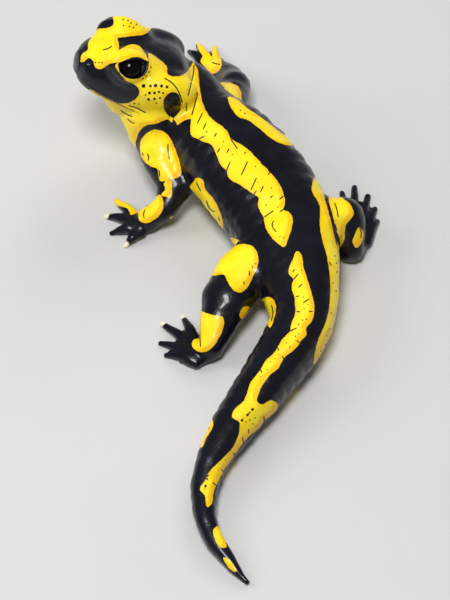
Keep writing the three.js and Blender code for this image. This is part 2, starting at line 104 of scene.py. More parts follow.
# Places in the head are (behind the snout, above the axis, beside the axis)
EYE_RADIUS = 4.5
EYE_PLACE = (12.0, 5.5, 7.8)
EYE_LOOK = (-0.02, 0.54, 0.84)
LID_OPENING = {"half": 4.0, "rise": 1.3, "upper": 1.15, "lower": 3.9, "tilt": 13}
LID = {"over_eye": 0.5, "blend": 1.6, "rim_round": 0.4, "socket_depth": 0.7, "folds_from": 1.5}
LID_FOLDS = [(0.16, 0.55, 0.45), (-0.2, 1.75, 0.35)]  # height, distance from the opening, half width
LOWER_LID_FOLDS = 0.8  # height of the lower lid's folds as a share of the upper lid's
EYE_MARGIN = 2.0  # how far the lids reach past the eyeball
BROW = {"place": (12.5, 6.7, 7.7), "radii": (7.6, 3.9, 4.6), "blend": 3.2}
PAROTOID = {"place": (23.6, 2.4, 10.2), "radii": (9.0, 5.4, 5.2), "blend": 2.2}
NOSTRIL = {"place": (1.9, 3.0, 5.5), "radius": 0.6, "blend": 0.35}
HEAD_MIDDLE = (16, 0, 0)
HEAD_REACH = 30  # radius round the middle in which the head's form counts

# Folds of the skin along the body, each with the spans along the spine in which it fades
COSTAL = {"count": 12, "depth": 0.3, "width": 0.2, "rear": (-3, 3), "front": (1, -3)}
TAIL_RINGS = {"count": 30, "depth": 0.2, "width": 0.2, "front": (2, -4)}
GULAR = {"depth": 0.9, "half": 1.6, "top": 0.6}
FLANK = (0.25, 0.95)  # shares of the half width between which the grooves grow to full depth
FOLD_WANDER = {"size": 18, "reach": 0.6, "seed": 1}
RELIEF = [(9.0, 0.1), (3.2, 0.045)]  # size and height of the skin's smooth unevenness
RELIEF_SEED = 2
HEAD_RELIEF = 0.5  # height of the head's unevenness as a share of the body's
RIPPLE_WAVES = 14
RIPPLE_SPREAD = (0.7, 1.4)  # range of the waves' frequencies about the nominal one

# Limbs: the axis from the root inside the body to the wrist or ankle, whose third point is
# the elbow or knee, then the palm and the ends of the digits on the floor
FORE_THICK = [(9.2, 7.8), (5.3, 4.9), (4.3, 4.1), (3.7, 3.5), (3.1, 2.8)]
HIND_THICK = [(7.6, 6.8), (6.9, 6.1), (5.4, 5.0), (4.6, 4.3), (3.3, 3.1)]
BENT_HIND_THICK = [(7.8, 6.8), (7.8, 6.4), (6.5, 5.4), (5.0, 4.4), (3.7, 3.2)]
LIMBS = {
    "left_fore": {
        "thick": FORE_THICK,
        "path": [
            (-17.6, 54, 13), (-17.5, 46.2, 12), (-13.7, 39.4, 8.8), (-16.8, 34.2, 6.2),
            (-21.3, 32.4, 3.6),
        ],
        "palm": (-24.4, 31.6, 1.6),
        "tips": [(-30.6, 41.2), (-33.2, 35.6), (-31.6, 29.6), (-27.6, 25.0)],
    },
    "right_fore": {
        "thick": FORE_THICK,
        "path": [
            (-4.5, 62.5, 14), (1.3, 69.8, 11.4), (2.6, 77.4, 8.6), (1.0, 83.6, 6.0), (-2.2, 88.8, 3.6),
        ],
        "palm": (-4.0, 92.2, 1.6),
        "tips": [(-10.4, 98.6), (-7.8, 101.0), (-3.0, 100.2), (-0.6, 93.8)],
    },
    "left_hind": {
        "thick": BENT_HIND_THICK,
        "path": [
            (14.5, 14, 9.8), (5.6, 8.2, 9.4), (0.4, -0.2, 8.4), (-1.8, -6.8, 6.4), (-3.7, -12.4, 4.0),
        ],
        "palm": (-7.6, -13.4, 1.6),
        "tips": [(-11.4, -0.1), (-16.9, -2.4), (-17.4, -9.0), (-15.8, -13.0), (-11.6, -15.0)],
    },
    "right_hind": {
        "thick": HIND_THICK,
        "path": [
            (21.5, 20.5, 9.8), (28.2, 25.4, 10.4), (32.8, 27.2, 10.2), (34.4, 24.0, 7.6),
            (34.8, 20.8, 4.4),
        ],
        "palm": (36.8, 27.4, 1.6),
        "tips": [(33.0, 44.2), (36.6, 46.2), (40.3, 42.9), (42.1, 38.4), (42.6, 33.8)],
    },
}
PALM_SIZE = (3.7, 1.9)
HEEL_SIZE = (3.1, 2.4)
HEEL_HEIGHT = 2.2
SOLE_REACH = 2.2
SOLE_SIZE = (3.1, 1.5)
DIGIT_SPREAD = 0.75
DIGIT_SIZES = [(2.0, 1.4), (1.4, 1.2), (0.75, 0.7)]
KNUCKLE_HEIGHT = 1.7
TIP_SINK = 0.6

# How softly neighbouring forms run into each other, in millimetres of fillet
BLEND_HEAD = 2.6
BLEND_LIMB = 2.8
BLEND_JOINT = 2.0
BLEND_DIGIT = 0.9

# The mesh: a grid over the swollen solids, drawn onto the smooth surface, and finer where
# the features are small
GRID = 0.7
SEAM_SWELL = 0.34
EYE_SWELL = 0.7
SAME_PLACE = 1e-7  # metres within which a solid's vertices are one
FAR = 9.0
PROBE = 0.04
MAX_STEP = 0.5
LEAST_SLOPE = 0.3
FIRST_SETTLE = (6, 0.6)  # rounds, and the share of the way to the neighbours' middle in each
FINE_ROUNDS = 3
FOLD_ROUNDS = 2
EYE_ROUNDS = 7
EVEN_OUT = 0.5
FACE_BOX = ((-3, -14, -17), (27, 14, 17))  # in the head's own places
DIGITS_REACH = 11
LID_BAND = 1.4  # half the width of the finer band along the lids' rims, then along the rest
FOLD_BAND = 0.85
PORE_BAND = 0.4
CHUNKS = 16  # long lists of points are compared in parts, to spare memory
CHUNK_POINTS = 2000

# ------------------------------------------------------------------ curves and distances


def unit(vectors):
    return vectors / np.maximum(np.linalg.norm(vectors, axis=-1, keepdims=True), TINY)


def dot(first, second):
    return (first * second).sum(-1)


def smoothstep(value, low, high):
    share = np.clip((value - low) / (high - low), 0, 1)
    return share * share * (3 - 2 * share)


def fade(value, place, span):
    """A smooth rise from 0 to 1 between the two ends of a span about a place."""
    return smoothstep(value, place + span[0], place + span[1])


def ridge(value, width):
    return np.exp(-((value / width) ** 2))


def smooth_curve(points, closed=False, steps=CURVE_STEPS):
    """Samples of a centripetal Catmull-Rom curve, steps to a span."""
    points = np.asarray(points, float)
    if closed:
        line = np.vstack([points[-1:], points, points[:2]])
    else:
        line = np.vstack([2 * points[0] - points[1], points, 2 * points[-1] - points[-2]])
    share = np.arange(steps)[:, None] / steps
    spans = []
    for before, start, end, after in zip(line[:-3], line[1:-2], line[2:-1], line[3:]):
        pairs = ((before, start), (start, end), (end, after))
        lead, gap, trail = (max(np.linalg.norm(b - a), TINY) ** 0.5 for a, b in pairs)
        leave = ((start - before) / lead - (end - before) / (lead + gap)) * gap + end - start
        arrive = end - start - (after - start) / (gap + trail) * gap + (after - end) / trail * gap
        square = 3 * (end - start) - 2 * leave - arrive
        cube = 2 * (start - end) + leave + arrive
        spans.append(start + leave * share + square * share**2 + cube * share**3)
    return np.vstack(spans if closed else [*spans, points[-1:]])


def ripple(points, size, seed):
    """Smooth irregular waves, mostly between -1 and 1."""
    chance = np.random.default_rng(seed)
    waves = unit(chance.normal(size=(RIPPLE_WAVES, 3)))
    waves = waves * chance.uniform(*RIPPLE_SPREAD, (RIPPLE_WAVES, 1))
    starts = chance.uniform(0, 2 * np.pi, RIPPLE_WAVES)
    return np.sin(points @ waves.T * (2 * np.pi / size) + starts).sum(1) / math.sqrt(RIPPLE_WAVES)


def soft_union(first, second, blend):
    mix = np.clip(0.5 + 0.5 * (second - first) / blend, 0, 1)
    return second + (first - second) * mix - blend * mix * (1 - mix)


def soft_cut(form, hole, blend):
    return -soft_union(-form, hole, blend)


def oval_depth(across, above, ahead, size, cap, bulge):
    """Distance along the ray from the axis to an oval section with a round end."""
    reach = np.where(above > 0, size[:, 1], size[:, 2])
    parts = np.abs(across / size[:, 0]) ** bulge + np.abs(above / reach) ** bulge
    level = (parts + np.abs(ahead / cap) ** bulge) ** (1 / bulge)
    radius = np.sqrt(across**2 + above**2 + ahead**2)
    return radius - radius / np.maximum(level, TINY)


def nearest_index(points, centres):
    lengths = (centres**2).sum(1)
    groups = np.array_split(points, CHUNKS)
    return np.concatenate([np.argmin(lengths - 2 * group @ centres.T, axis=1) for group in groups])


class Tube:
    """A chain of oval sections along a curve."""

    def __init__(self, places, sizes, bulge=2.0):
        self.centre = smooth_curve(places)
        self.size = smooth_curve([size if len(size) == 3 else (*size, size[1]) for size in sizes])
        self.ahead = unit(np.gradient(self.centre, axis=0))
        self.left = unit(np.cross(UPRIGHT, self.ahead))
        self.up = np.cross(self.ahead, self.left)
        gaps = np.linalg.norm(np.diff(self.centre, axis=0), axis=1)
        self.distance = np.concatenate([[0], np.cumsum(gaps)])
        self.spacing = np.gradient(self.distance)
        self.bulge = bulge
        margin = self.size.max() + FAR / 2
        self.low, self.high = self.centre.min(0) - margin, self.centre.max(0) + margin

    def locate(self, points):
        """The place along the curve, then what lies across, above and ahead of it, and its size."""
        nearest = nearest_index(points, self.centre)
        drift = dot(points - self.centre[nearest], self.ahead[nearest]) / self.spacing[nearest]
        place = np.clip(nearest + np.clip(drift, -1, 1), 0, len(self.centre) - 1)
        lower = np.minimum(place.astype(int), len(self.centre) - 2)
        share = (place - lower)[:, None]

        def at(values):
            return values[lower] * (1 - share) + values[lower + 1] * share

        offset = points - at(self.centre)
        sides = [dot(offset, at(axes)) for axes in (self.left, self.up, self.ahead)]
        return place, *sides, at(self.size)

    def depth(self, points):
        _, across, above, ahead, size = self.locate(points)
        return oval_depth(across, above, ahead, size, size[:, 2], self.bulge)

    def near(self, points):
        return np.all((points > self.low) & (points < self.high), axis=1)


# ------------------------------------------------------------------ the head

head_turn = np.eye(3)
for angle, axis in HEAD_TURNS:
    head_turn = head_turn @ np.array(Matrix.Rotation(math.radians(angle), 3, axis))

head_backs = smooth_curve([(back, 0, 0) for back, _ in HEAD])[::-1, 0]
head_sizes = smooth_curve([size for _, size in HEAD])[::-1]
mouth_line = smooth_curve([(back, up, 0) for back, up in MOUTH])


def in_head(points):
    """Plan points as (behind the snout, above the axis, beside it to the left)."""
    local = (points - SNOUT) @ head_turn
    return np.stack([-local[:, 0], local[:, 2], local[:, 1]], axis=1)


def from_head(places):
    back, up, side = np.moveaxis(np.asarray(places, float), -1, 0)
    return np.stack([-back, side, up], axis=-1) @ head_turn.T + SNOUT


def mirrored(place, side):
    return np.array(place) * (1, 1, side)


def eye_axes(side):
    """The eye's centre, and the axes that run back, up and out of the head."""
    out = unit(from_head(mirrored(EYE_LOOK, side)) - SNOUT)
    crown = from_head((0, 1, 0)) - SNOUT
    back = unit(np.cross(crown, out)) * side
    return from_head(mirrored(EYE_PLACE, side)), back, np.cross(out, back) * side, out


def lid_gap(local):
    """Distance outside the lids' opening, in the eye's own axes."""
    tilt = math.radians(LID_OPENING["tilt"])
    along = local[:, 0] * math.cos(tilt) + local[:, 1] * math.sin(tilt)
    above = local[:, 1] * math.cos(tilt) - local[:, 0] * math.sin(tilt) - LID_OPENING["rise"]
    reach = np.where(above > 0, LID_OPENING["upper"], LID_OPENING["lower"])
    level = np.hypot(along / LID_OPENING["half"], above / reach)
    radius = np.hypot(along, above)
    return radius - radius / np.maximum(level, TINY), above


def in_eye(points, side):
    """Plan points in one eye's own axes: back, up and out."""
    centre, *axes = eye_axes(side)
    return np.stack([dot(points - centre, axis) for axis in axes], axis=-1)


def ellipsoid_depth(local, place, radii):
    offset = local - place
    radius = np.linalg.norm(offset, axis=1)
    level = np.linalg.norm(offset / radii, axis=1)
    return radius - radius / np.maximum(level, TINY)


def mouth_height(local):
    return local[:, 1] - np.interp(local[:, 0], mouth_line[:, 0], mouth_line[:, 1])


def shape_mouth(form, local):
    """Draws in the mouth's line and the jaw below it, and swells the lips."""
    height = mouth_height(local)
    groove = MOUTH_GROOVE["depth"] * ridge(height, MOUTH_GROOVE["half"])
    lips = sum(swelling * ridge(height - place, half) for swelling, place, half in LIPS)
    tuck = JAW_TUCK["depth"] * smoothstep(height, *JAW_TUCK["starts"])
    tuck = tuck * smoothstep(height, *JAW_TUCK["ends"])
    return form + fade(local[:, 0], MOUTH_END, MOUTH_FADE) * (groove - lips + tuck)


def shape_eye(form, points, side):
    """Lays the lids over the eyeball, with their folds, and opens them."""
    local = in_eye(points, side)
    near = np.linalg.norm(local, axis=1) < EYE_RADIUS + FAR / 2
    local = local[near]
    gap, above = lid_gap(local)
    radius = np.linalg.norm(local, axis=1)
    facing = smoothstep(local[:, 2], 0, LID["folds_from"])
    rolled = sum(height * ridge(gap - place, half) for height, place, half in LID_FOLDS)
    folds = np.where(above > 0, 1.0, LOWER_LID_FOLDS) * facing * rolled
    lids = soft_union(form[near], radius - EYE_RADIUS - LID["over_eye"], LID["blend"]) - folds
    hole = np.maximum(np.maximum(gap, EYE_RADIUS - LID["socket_depth"] - radius), -local[:, 2])
    form = form.copy()
    form[near] = soft_cut(lids, hole, LID["rim_round"])
    return form


def head_depth(points):
    local = in_head(points)
    back = local[:, 0]
    size = np.stack([np.interp(back, head_backs, head_sizes[:, k]) for k in range(3)], axis=1)
    ahead = np.maximum(head_backs[0] - back, 0) + np.maximum(back - head_backs[-1], 0)
    form = oval_depth(local[:, 2], local[:, 1], ahead, size, SNOUT_CAP, BODY_BULGE)
    form = shape_mouth(form, local)
    for side in (1, -1):
        for swelling in (BROW, PAROTOID):
            place = mirrored(swelling["place"], side)
            form = soft_union(form, ellipsoid_depth(local, place, swelling["radii"]), swelling["blend"])
        nostril = np.linalg.norm(local - mirrored(NOSTRIL["place"], side), axis=1) - NOSTRIL["radius"]
        form = soft_cut(form, nostril, NOSTRIL["blend"])
        form = shape_eye(form, points, side)
    return form


# ------------------------------------------------------------------ the whole body

spine = Tube([place for place, _ in SPINE.values()], [size for _, size in SPINE.values()], BODY_BULGE)


def spine_distance(name):
    return spine.distance[list(SPINE).index(name) * CURVE_STEPS]


rib_start, rib_end = spine_distance("pelvis"), spine_distance("shoulders")
gular_place = (rib_end + spine_distance("neck")) / 2


def spine_folds(distance, across, above):
    """How far the skin is drawn in: costal grooves, tail rings and the fold across the throat."""

    def notch(start, pitch, width):
        turns = (distance - start) / pitch
        return ridge(turns - np.round(turns), width)

    flank = smoothstep(np.abs(across), *FLANK)
    ribs = COSTAL["depth"] * notch(rib_start, (rib_end - rib_start) / COSTAL["count"], COSTAL["width"])
    ribs = ribs * flank * fade(distance, rib_start, COSTAL["rear"])
    ribs = ribs * fade(distance, rib_end, COSTAL["front"])
    rings = TAIL_RINGS["depth"] * notch(0, rib_start / TAIL_RINGS["count"], TAIL_RINGS["width"])
    rings = rings * flank * fade(distance, rib_start, TAIL_RINGS["front"])
    rings = rings * np.clip(distance / (rib_start / 2), 0, 1)
    below = np.maximum(0, GULAR["top"] - above)
    return ribs + rings + GULAR["depth"] * ridge(distance - gular_place, GULAR["half"]) * below


def trunk_depth(points):
    place, across, above, ahead, size = spine.locate(points)
    distance = np.interp(place, np.arange(len(spine.distance)), spine.distance)
    distance += FOLD_WANDER["reach"] * ripple(points, FOLD_WANDER["size"], FOLD_WANDER["seed"])
    form = oval_depth(across, above, ahead, size, size[:, 2], BODY_BULGE)
    reach = np.where(above > 0, size[:, 1], size[:, 2])
    return form + spine_folds(distance, across / size[:, 0], above / reach)


def limb_tubes(limb):
    """A limb's two long bones, its sole and its digits, each with its blend into the rest."""
    path, thick = limb["path"], limb["thick"]
    palm = np.array(limb["palm"])
    heel = np.array([*path[-1][:2], HEEL_HEIGHT])
    ahead = unit((palm - heel) * (1, 1, 0))
    sole = Tube([heel, palm, palm + ahead * SOLE_REACH], [HEEL_SIZE, PALM_SIZE, SOLE_SIZE])
    tips = [np.array([*tip, DIGIT_SIZES[2][1] * TIP_SINK]) for tip in limb["tips"]]
    across = unit((tips[-1] - tips[0]) * (1, 1, 0))
    digits = []
    for digit, tip in enumerate(tips):
        place = 2 * digit / (len(tips) - 1) - 1
        root = palm + across * place * PALM_SIZE[0] * DIGIT_SPREAD
        knuckle = (root + tip) / 2
        knuckle[2] = KNUCKLE_HEIGHT
        digits.append(Tube([root, knuckle, tip], DIGIT_SIZES))
    bones = [(Tube(path[:3], thick[:3]), BLEND_JOINT), (Tube(path[2:], thick[2:]), BLEND_JOINT)]
    return [*bones, (sole, BLEND_JOINT), *((digit, BLEND_DIGIT) for digit in digits)]


limbs = {name: limb_tubes(limb) for name, limb in LIMBS.items()}
PARTS = ["trunk", "head", *limbs]


def limb_depth(points, tubes):
    form = np.full(len(points), FAR)
    for tube, blend in tubes:
        near = tube.near(points)
        if near.any():
            form[near] = soft_union(form[near], tube.depth(points[near]), blend)
    return form


def part_depths(points):
    """Distances outside the trunk with the tail, the head and each limb."""
    forms = [trunk_depth(points), np.full(len(points), FAR)]
    close = np.linalg.norm(points - from_head(HEAD_MIDDLE), axis=1) < HEAD_REACH
    forms[1][close] = head_depth(points[close])
    return forms + [limb_depth(points, tubes) for tubes in limbs.values()]


def skin_depth(points):
    trunk, head, *legs = part_depths(points)
    form = soft_union(trunk, head, BLEND_HEAD)
    for leg in legs:
        form = soft_union(form, leg, BLEND_LIMB)
    relief = sum(height * ripple(points, size, RELIEF_SEED) for size, height in RELIEF)
    return form - relief * np.where(head < 1, HEAD_RELIEF, 1)


# ------------------------------------------------------------------ the camera

CAMERA_LIFT = 52  # degrees above the floor
CAMERA_RANGE = 750.0
CAMERA_TARGET = np.array([0.0, 0.0, 8.0])
PIXELS_PER_MM = 3.7
FRAME_SIZE = (450, 600)
SENSOR = 36.0
NEAREST_SHOWN = 0.01  # metres

lift = math.radians(CAMERA_LIFT)
camera_back = np.array([0, -math.cos(lift), math.sin(lift)])
camera_up = np.array([0, math.sin(lift), math.cos(lift)])
camera_right = np.array([1.0, 0, 0])
camera_place = CAMERA_TARGET + camera_back * CAMERA_RANGE
focal_pixels = PIXELS_PER_MM * CAMERA_RANGE


def seen(points):
    """Where plan points fall in the camera's frame, in pixels from its top left corner."""
    offset = points - camera_place
    range_ahead = -dot(offset, camera_back)
    across = FRAME_SIZE[0] / 2 + focal_pixels * dot(offset, camera_right) / range_ahead
    down = FRAME_SIZE[1] / 2 - focal_pixels * dot(offset, camera_up) / range_ahead
    return np.stack([across, down], axis=1)


# ------------------------------------------------------------------ fine folds

FOLD_STEPS = 3  # samples of a fold's curve between two of its points
FOLD_REACH = 2.0
FOLD_SIDES = (0.7, 0.4)
FOLD_ENDS = (0.0, 0.45)
FOLD_CUT = {"depth": 0.22, "width": 0.4}

# Folds of the skin, each with a fine dark line of painted shade in its crease, in pixels: deep ones, then
# slight ones
DEEP_FOLDS = [
    [(164, 78), (171, 82), (176.5, 88), (180.5, 96), (182.5, 104)],
    [(194, 64), (193.5, 73), (191, 84), (188, 97)], [(198, 92), (195, 104), (191.5, 116)],
    [(120, 109.5), (126, 114), (133, 117)], [(127, 118.5), (131, 122), (135, 124)],
    [(102, 50), (108, 48.5), (113, 45.5)], [(199.5, 331), (200, 340), (200.5, 348)],
    [(128, 105.5), (136, 107.8), (142, 111), (147, 113.5)],
]
SLIGHT_FOLDS = [
    [(186.5, 102), (186.5, 112)], [(203, 112), (200, 118), (197, 124)], [(206.5, 122), (202.8, 130)],
    [(217, 132.5), (213.7, 137.5)], [(220.3, 147), (217, 153.3)], [(229.5, 148), (226.5, 153.5)],
    [(246.6, 151), (243.8, 154.7)], [(230, 138), (238, 149.5)], [(205.5, 135.5), (198, 139.5)],
    [(230.5, 161), (226, 172)], [(248, 160.5), (241, 176)], [(271.8, 170), (267.5, 175.5)],
    [(256.8, 177), (250.5, 191)], [(257, 190), (253, 195.5)], [(263.8, 185), (260, 193)],
    [(285, 195), (278.5, 200)], [(273.5, 195), (269.5, 198.5)], [(274.5, 210), (263, 218)],
    [(289, 209), (283, 209.7), (279.5, 212.5)], [(196, 181.5), (198.5, 187), (201.5, 192)],
    [(274.3, 220), (272.1, 224.3), (273.6, 228.6), (277, 232.5)],
    [(206, 199.5), (210, 209), (215.5, 212.5)], [(218, 216), (220, 222)],
    [(295.7, 268.7), (291.8, 272.5)], [(298.8, 273.3), (293, 280)], [(303, 283.3), (297.5, 288.2)],
    [(310, 298.3), (302.5, 303.3)], [(300, 295.5), (295, 297.3)], [(295.5, 311.5), (301, 312)],
    [(308, 311.5), (313.5, 311.5)], [(297.5, 327.5), (289.5, 331.5)], [(296, 340), (300.5, 343.3)],
    [(276.7, 345.5), (279, 351)], [(281.8, 355.5), (285.3, 361)], [(259.3, 368.3), (262.7, 373.3)],
    [(258, 308), (265, 304.5)], [(271, 304), (273, 312), (271, 322)], [(264, 415), (264, 423)],
    [(242, 436), (244, 444)], [(248.5, 428), (249, 434.5)], [(233, 451.5), (235, 457.5)],
    [(221, 468.5), (224.3, 473.3)], [(212, 482), (217.3, 486.3)], [(246, 417), (251, 411)],
    [(240, 421), (244, 418)], [(249.3, 270), (249.7, 276.5)], [(244, 280.5), (244, 285.5)],
    [(338, 278), (341, 276)], [(329, 261.5), (332, 266.5)], [(168, 143), (168, 150), (169.5, 160)],
    [(142, 151.5), (143.5, 156.5)], [(147, 153), (148.7, 157), (148, 161.5)],
    [(158.5, 169), (159.5, 173.5), (158.8, 178)], [(145.5, 209), (143.5, 214), (144.5, 219)],
    [(211, 62), (215, 63.5), (221, 64.5)], [(359.5, 227), (361.3, 232.5), (360.8, 239)],
    [(334.5, 202), (337, 210), (338.5, 218)], [(327, 197), (330, 213), (333.5, 230), (337.5, 246)],
]

# Pores of the glands, in pixels, each with its radius, then small dark dots
PORES = [
    (143.5, 86, 1.9), (150.5, 86, 1.4), (155.5, 85.5, 1.9), (161.5, 86, 1.6), (167, 87, 1.5),
    (149.5, 93, 1.5), (154.5, 93, 1.4), (159, 92, 1.2), (163, 93, 1.1), (148.5, 99.5, 1.5),
    (154.5, 99, 1.4), (160, 98, 1.1), (252.5, 409.5, 1.5), (247.5, 415, 1.4), (242, 420.5, 1.4),
    (207.5, 475.5, 1.4), (207, 479, 1.2), (205.5, 486, 1.5), (204.8, 489, 1.0),
]
DOT_RADIUS = 0.85
DOTS = [
    (145.5, 95), (123, 19.5), (128, 20.5), (131, 23), (136.5, 24.3), (123.5, 25.5), (129.5, 26.5),
    (133.5, 27.5), (95.5, 62.5), (99, 62.5), (102, 62.5), (134.5, 103.5), (139, 104), (156.5, 103.3),
    (151, 67), (149, 72), (146, 76), (143, 78.5), (240.5, 110.5), (245, 113.5), (207, 132),
    (223.6, 141.4), (233, 154.5), (255.3, 166.4), (257.8, 182), (271.4, 188), (266.4, 205), (278, 207),
    (280, 236.4), (283.6, 238), (301.4, 270), (303, 297), (308, 304.3), (304.3, 308.6), (302.6, 320),
    (306.4, 319.3), (298.6, 324.3), (298.6, 333.6), (295.3, 336.1), (286.4, 343), (290, 347),
    (278.6, 354.3), (275, 358.6), (270.7, 361.4), (267, 369.3), (260.7, 377), (246, 422), (250, 420),
    (255, 418), (253, 424), (212, 432), (209, 428), (335, 256), (336.5, 263), (337, 272), (333, 283),
    (336, 291), (331, 313), (330, 329), (328, 336), (325, 345), (321, 351), (255.7, 263.6),
    (252.6, 267),
]


def fold_fields(points, shown, folds):
    """Distance to one side of the nearest fold, in millimetres, and one along the fold's length."""
    side, along = np.full(len(points), FAR), np.zeros(len(points))
    nearest = np.full(len(points), FOLD_REACH)
    places = seen(points) / PIXELS_PER_MM
    for fold in folds:
        line = smooth_curve(fold, steps=FOLD_STEPS) / PIXELS_PER_MM
        close = np.all((places > line.min(0) - FOLD_REACH) & (places < line.max(0) + FOLD_REACH), axis=1)
        length = np.linalg.norm(np.diff(line, axis=0), axis=1).sum()
        passed = 0
        for start, end in zip(line[:-1], line[1:]):
            index = np.nonzero(close & shown)[0]
            run = unit(end - start)
            offset = places[index] - start
            ahead = dot(offset, run)
            across = run[0] * offset[:, 1] - run[1] * offset[:, 0]
            gap = np.linalg.norm(end - start)
            beyond = np.maximum(-ahead, ahead - gap)
            distance = np.hypot(across, np.maximum(beyond, 0))
            better = distance < nearest[index]
            index, across, ahead = index[better], across[better], ahead[better] + passed
            nearest[index] = distance[better]
            side[index] = across
            inside = np.minimum(ahead, length - ahead)
            along[index] = smoothstep(inside, *FOLD_ENDS) * smoothstep(np.abs(across), *FOLD_SIDES)
            passed += gap
    return side, along


def pore_field(points, shown):
    """Distance to the rim of the nearest pore or dot, in millimetres, negative inside it."""
    places = seen(points)
    field = np.full(len(points), FAR)
    for across, down, radius in [*PORES, *((*dot_place, DOT_RADIUS) for dot_place in DOTS)]:
        rim = np.hypot(places[:, 0] - across, places[:, 1] - down) - radius
        field = np.minimum(field, rim / PIXELS_PER_MM)
    return np.where(shown, field, FAR)


# ------------------------------------------------------------------ the mesh


def swollen_solids():
    """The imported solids, swollen until they touch, as one mesh on a fine grid."""
    joined = bmesh.new()
    for name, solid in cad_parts.items():
        piece = bmesh.new()
        piece.from_mesh(solid.data)
        bmesh.ops.remove_doubles(piece, verts=piece.verts, dist=SAME_PLACE)
        piece.normal_update()
        swell = (EYE_SWELL if name.startswith("eye") else SEAM_SWELL) * MM
        for vertex in piece.verts:
            vertex.co += vertex.normal * swell
        mesh = bpy.data.meshes.new("swollen")
        piece.to_mesh(mesh)
        piece.free()
        joined.from_mesh(mesh)
        bpy.data.meshes.remove(mesh)
    mesh = bpy.data.meshes.new("swollen_solids")
    joined.to_mesh(mesh)
    joined.free()
    body = bpy.data.objects.new("swollen_solids", mesh)
    bpy.context.scene.collection.objects.link(body)
    grid = body.modifiers.new("grid", "REMESH")
    grid.mode = "VOXEL"
    grid.voxel_size = GRID * MM
    result = bpy.data.meshes.new_from_object(body.evaluated_get(bpy.context.evaluated_depsgraph_get()))
    bpy.data.objects.remove(body)
    return result


def keep_largest_shell(form):
    """Drops every closed surface of a bmesh but the one with the most vertices."""
    form.verts.ensure_lookup_table()
    unseen = set(range(len(form.verts)))
    shells = []
    while unseen:
        start = unseen.pop()
        shell, edge = [start], [start]
        while edge:
            for link in form.verts[edge.pop()].link_edges:
                for vertex in link.verts:
                    if vertex.index in unseen:
                        unseen.discard(vertex.index)
                        shell.append(vertex.index)
                        edge.append(vertex.index)
        shells.append(shell)
    shells.sort(key=len)
    scraps = [form.verts[index] for shell in shells[:-1] for index in shell]
    bmesh.ops.delete(form, geom=scraps, context="VERTS")


def coordinates(form):
    return np.array([vertex.co[:] for vertex in form.verts]) / MM + PLAN_MIDDLE


def edge_pairs(form):
    form.verts.index_update()
    return np.array([[vertex.index for vertex in edge.verts] for edge in form.edges])


def slope(points):
    """The skin's distance and the way out of it, from four probes."""
    probes = np.array([(1, -1, -1), (-1, -1, 1), (-1, 1, -1), (1, 1, 1)])
    forms = [skin_depth(points + PROBE * probe) for probe in probes]
    gradient = sum(form[:, None] * probe for form, probe in zip(forms, probes)) / (4 * PROBE)
    return sum(forms) / 4, gradient


def settle(points, pairs, moving, rounds, relax):
    """Draws the moving points onto the skin's surface, evening out their spacing."""
    count = len(points)
    links = np.maximum(np.bincount(pairs.ravel(), minlength=count), 1)[:, None]
    for turn in range(rounds):
        depth, gradient = slope(points[moving])
        steep = np.linalg.norm(gradient, axis=1, keepdims=True)
        out = gradient / np.maximum(steep, TINY)
        step = np.clip(depth / np.maximum(steep[:, 0], LEAST_SLOPE), -MAX_STEP, MAX_STEP)
        points[moving] -= out * step[:, None]
        if turn + 1 < rounds:
            sums = np.zeros_like(points)
            for axis in range(3):
                for here, there in ((0, 1), (1, 0)):
                    reached = points[pairs[:, there], axis]
                    sums[:, axis] += np.bincount(pairs[:, here], weights=reached, minlength=count)
            pull = (sums / links - points)[moving]
            points[moving] += relax * (pull - out * dot(pull, out)[:, None])
    points[:, 2] = np.maximum(points[:, 2], 0)
    return points


def refine(form, wanted):
    """Splits the edges whose two ends are both wanted."""
    form.edges.ensure_lookup_table()
    chosen = [edge for edge in form.edges if wanted[edge.verts[0].index] and wanted[edge.verts[1].index]]
    bmesh.ops.subdivide_edges(form, edges=chosen, cuts=1, use_grid_fill=True)
    form.verts.index_update()


def store(form, points):
    for vertex, place in zip(form.verts, (points - PLAN_MIDDLE) * MM):
        vertex.co = place


def fine_regions(points):
    """Where the whole skin needs a finer mesh: on the face and the digits."""
    local = in_head(points)
    wanted = np.all((local > FACE_BOX[0]) & (local < FACE_BOX[1]), axis=1)
    for limb in LIMBS.values():
        middle = np.mean([*[(*tip, 1) for tip in limb["tips"]], limb["palm"]], axis=0)
        wanted |= np.linalg.norm((points - middle) * (1, 1, 2), axis=1) < DIGITS_REACH
    return wanted


def rim_distance(points):
    """Distance outside the rims of the lids, in millimetres, far from the eyes a large one."""
    field = np.full(len(points), FAR)
    for side in (1, -1):
        local = in_eye(points, side)
        near = (np.linalg.norm(local, axis=1) < EYE_RADIUS + EYE_MARGIN) & (local[:, 2] > 0)
        field[near] = lid_gap(local[near])[0]
    return field


def eye_regions(points):
    """A band along the rims of the lids."""
    return np.abs(rim_distance(points)) < LID_BAND


def fold_regions(points):
    """Where a fine fold runs or a dot lies, on the sides that the camera sees."""
    _, gradient = slope(points)
    shown = dot(gradient, camera_place - points) > 0
    side, _ = fold_fields(points, shown, DEEP_FOLDS + SLIGHT_FOLDS)
    return (np.abs(side) < FOLD_BAND) | (pore_field(points, shown) < PORE_BAND)


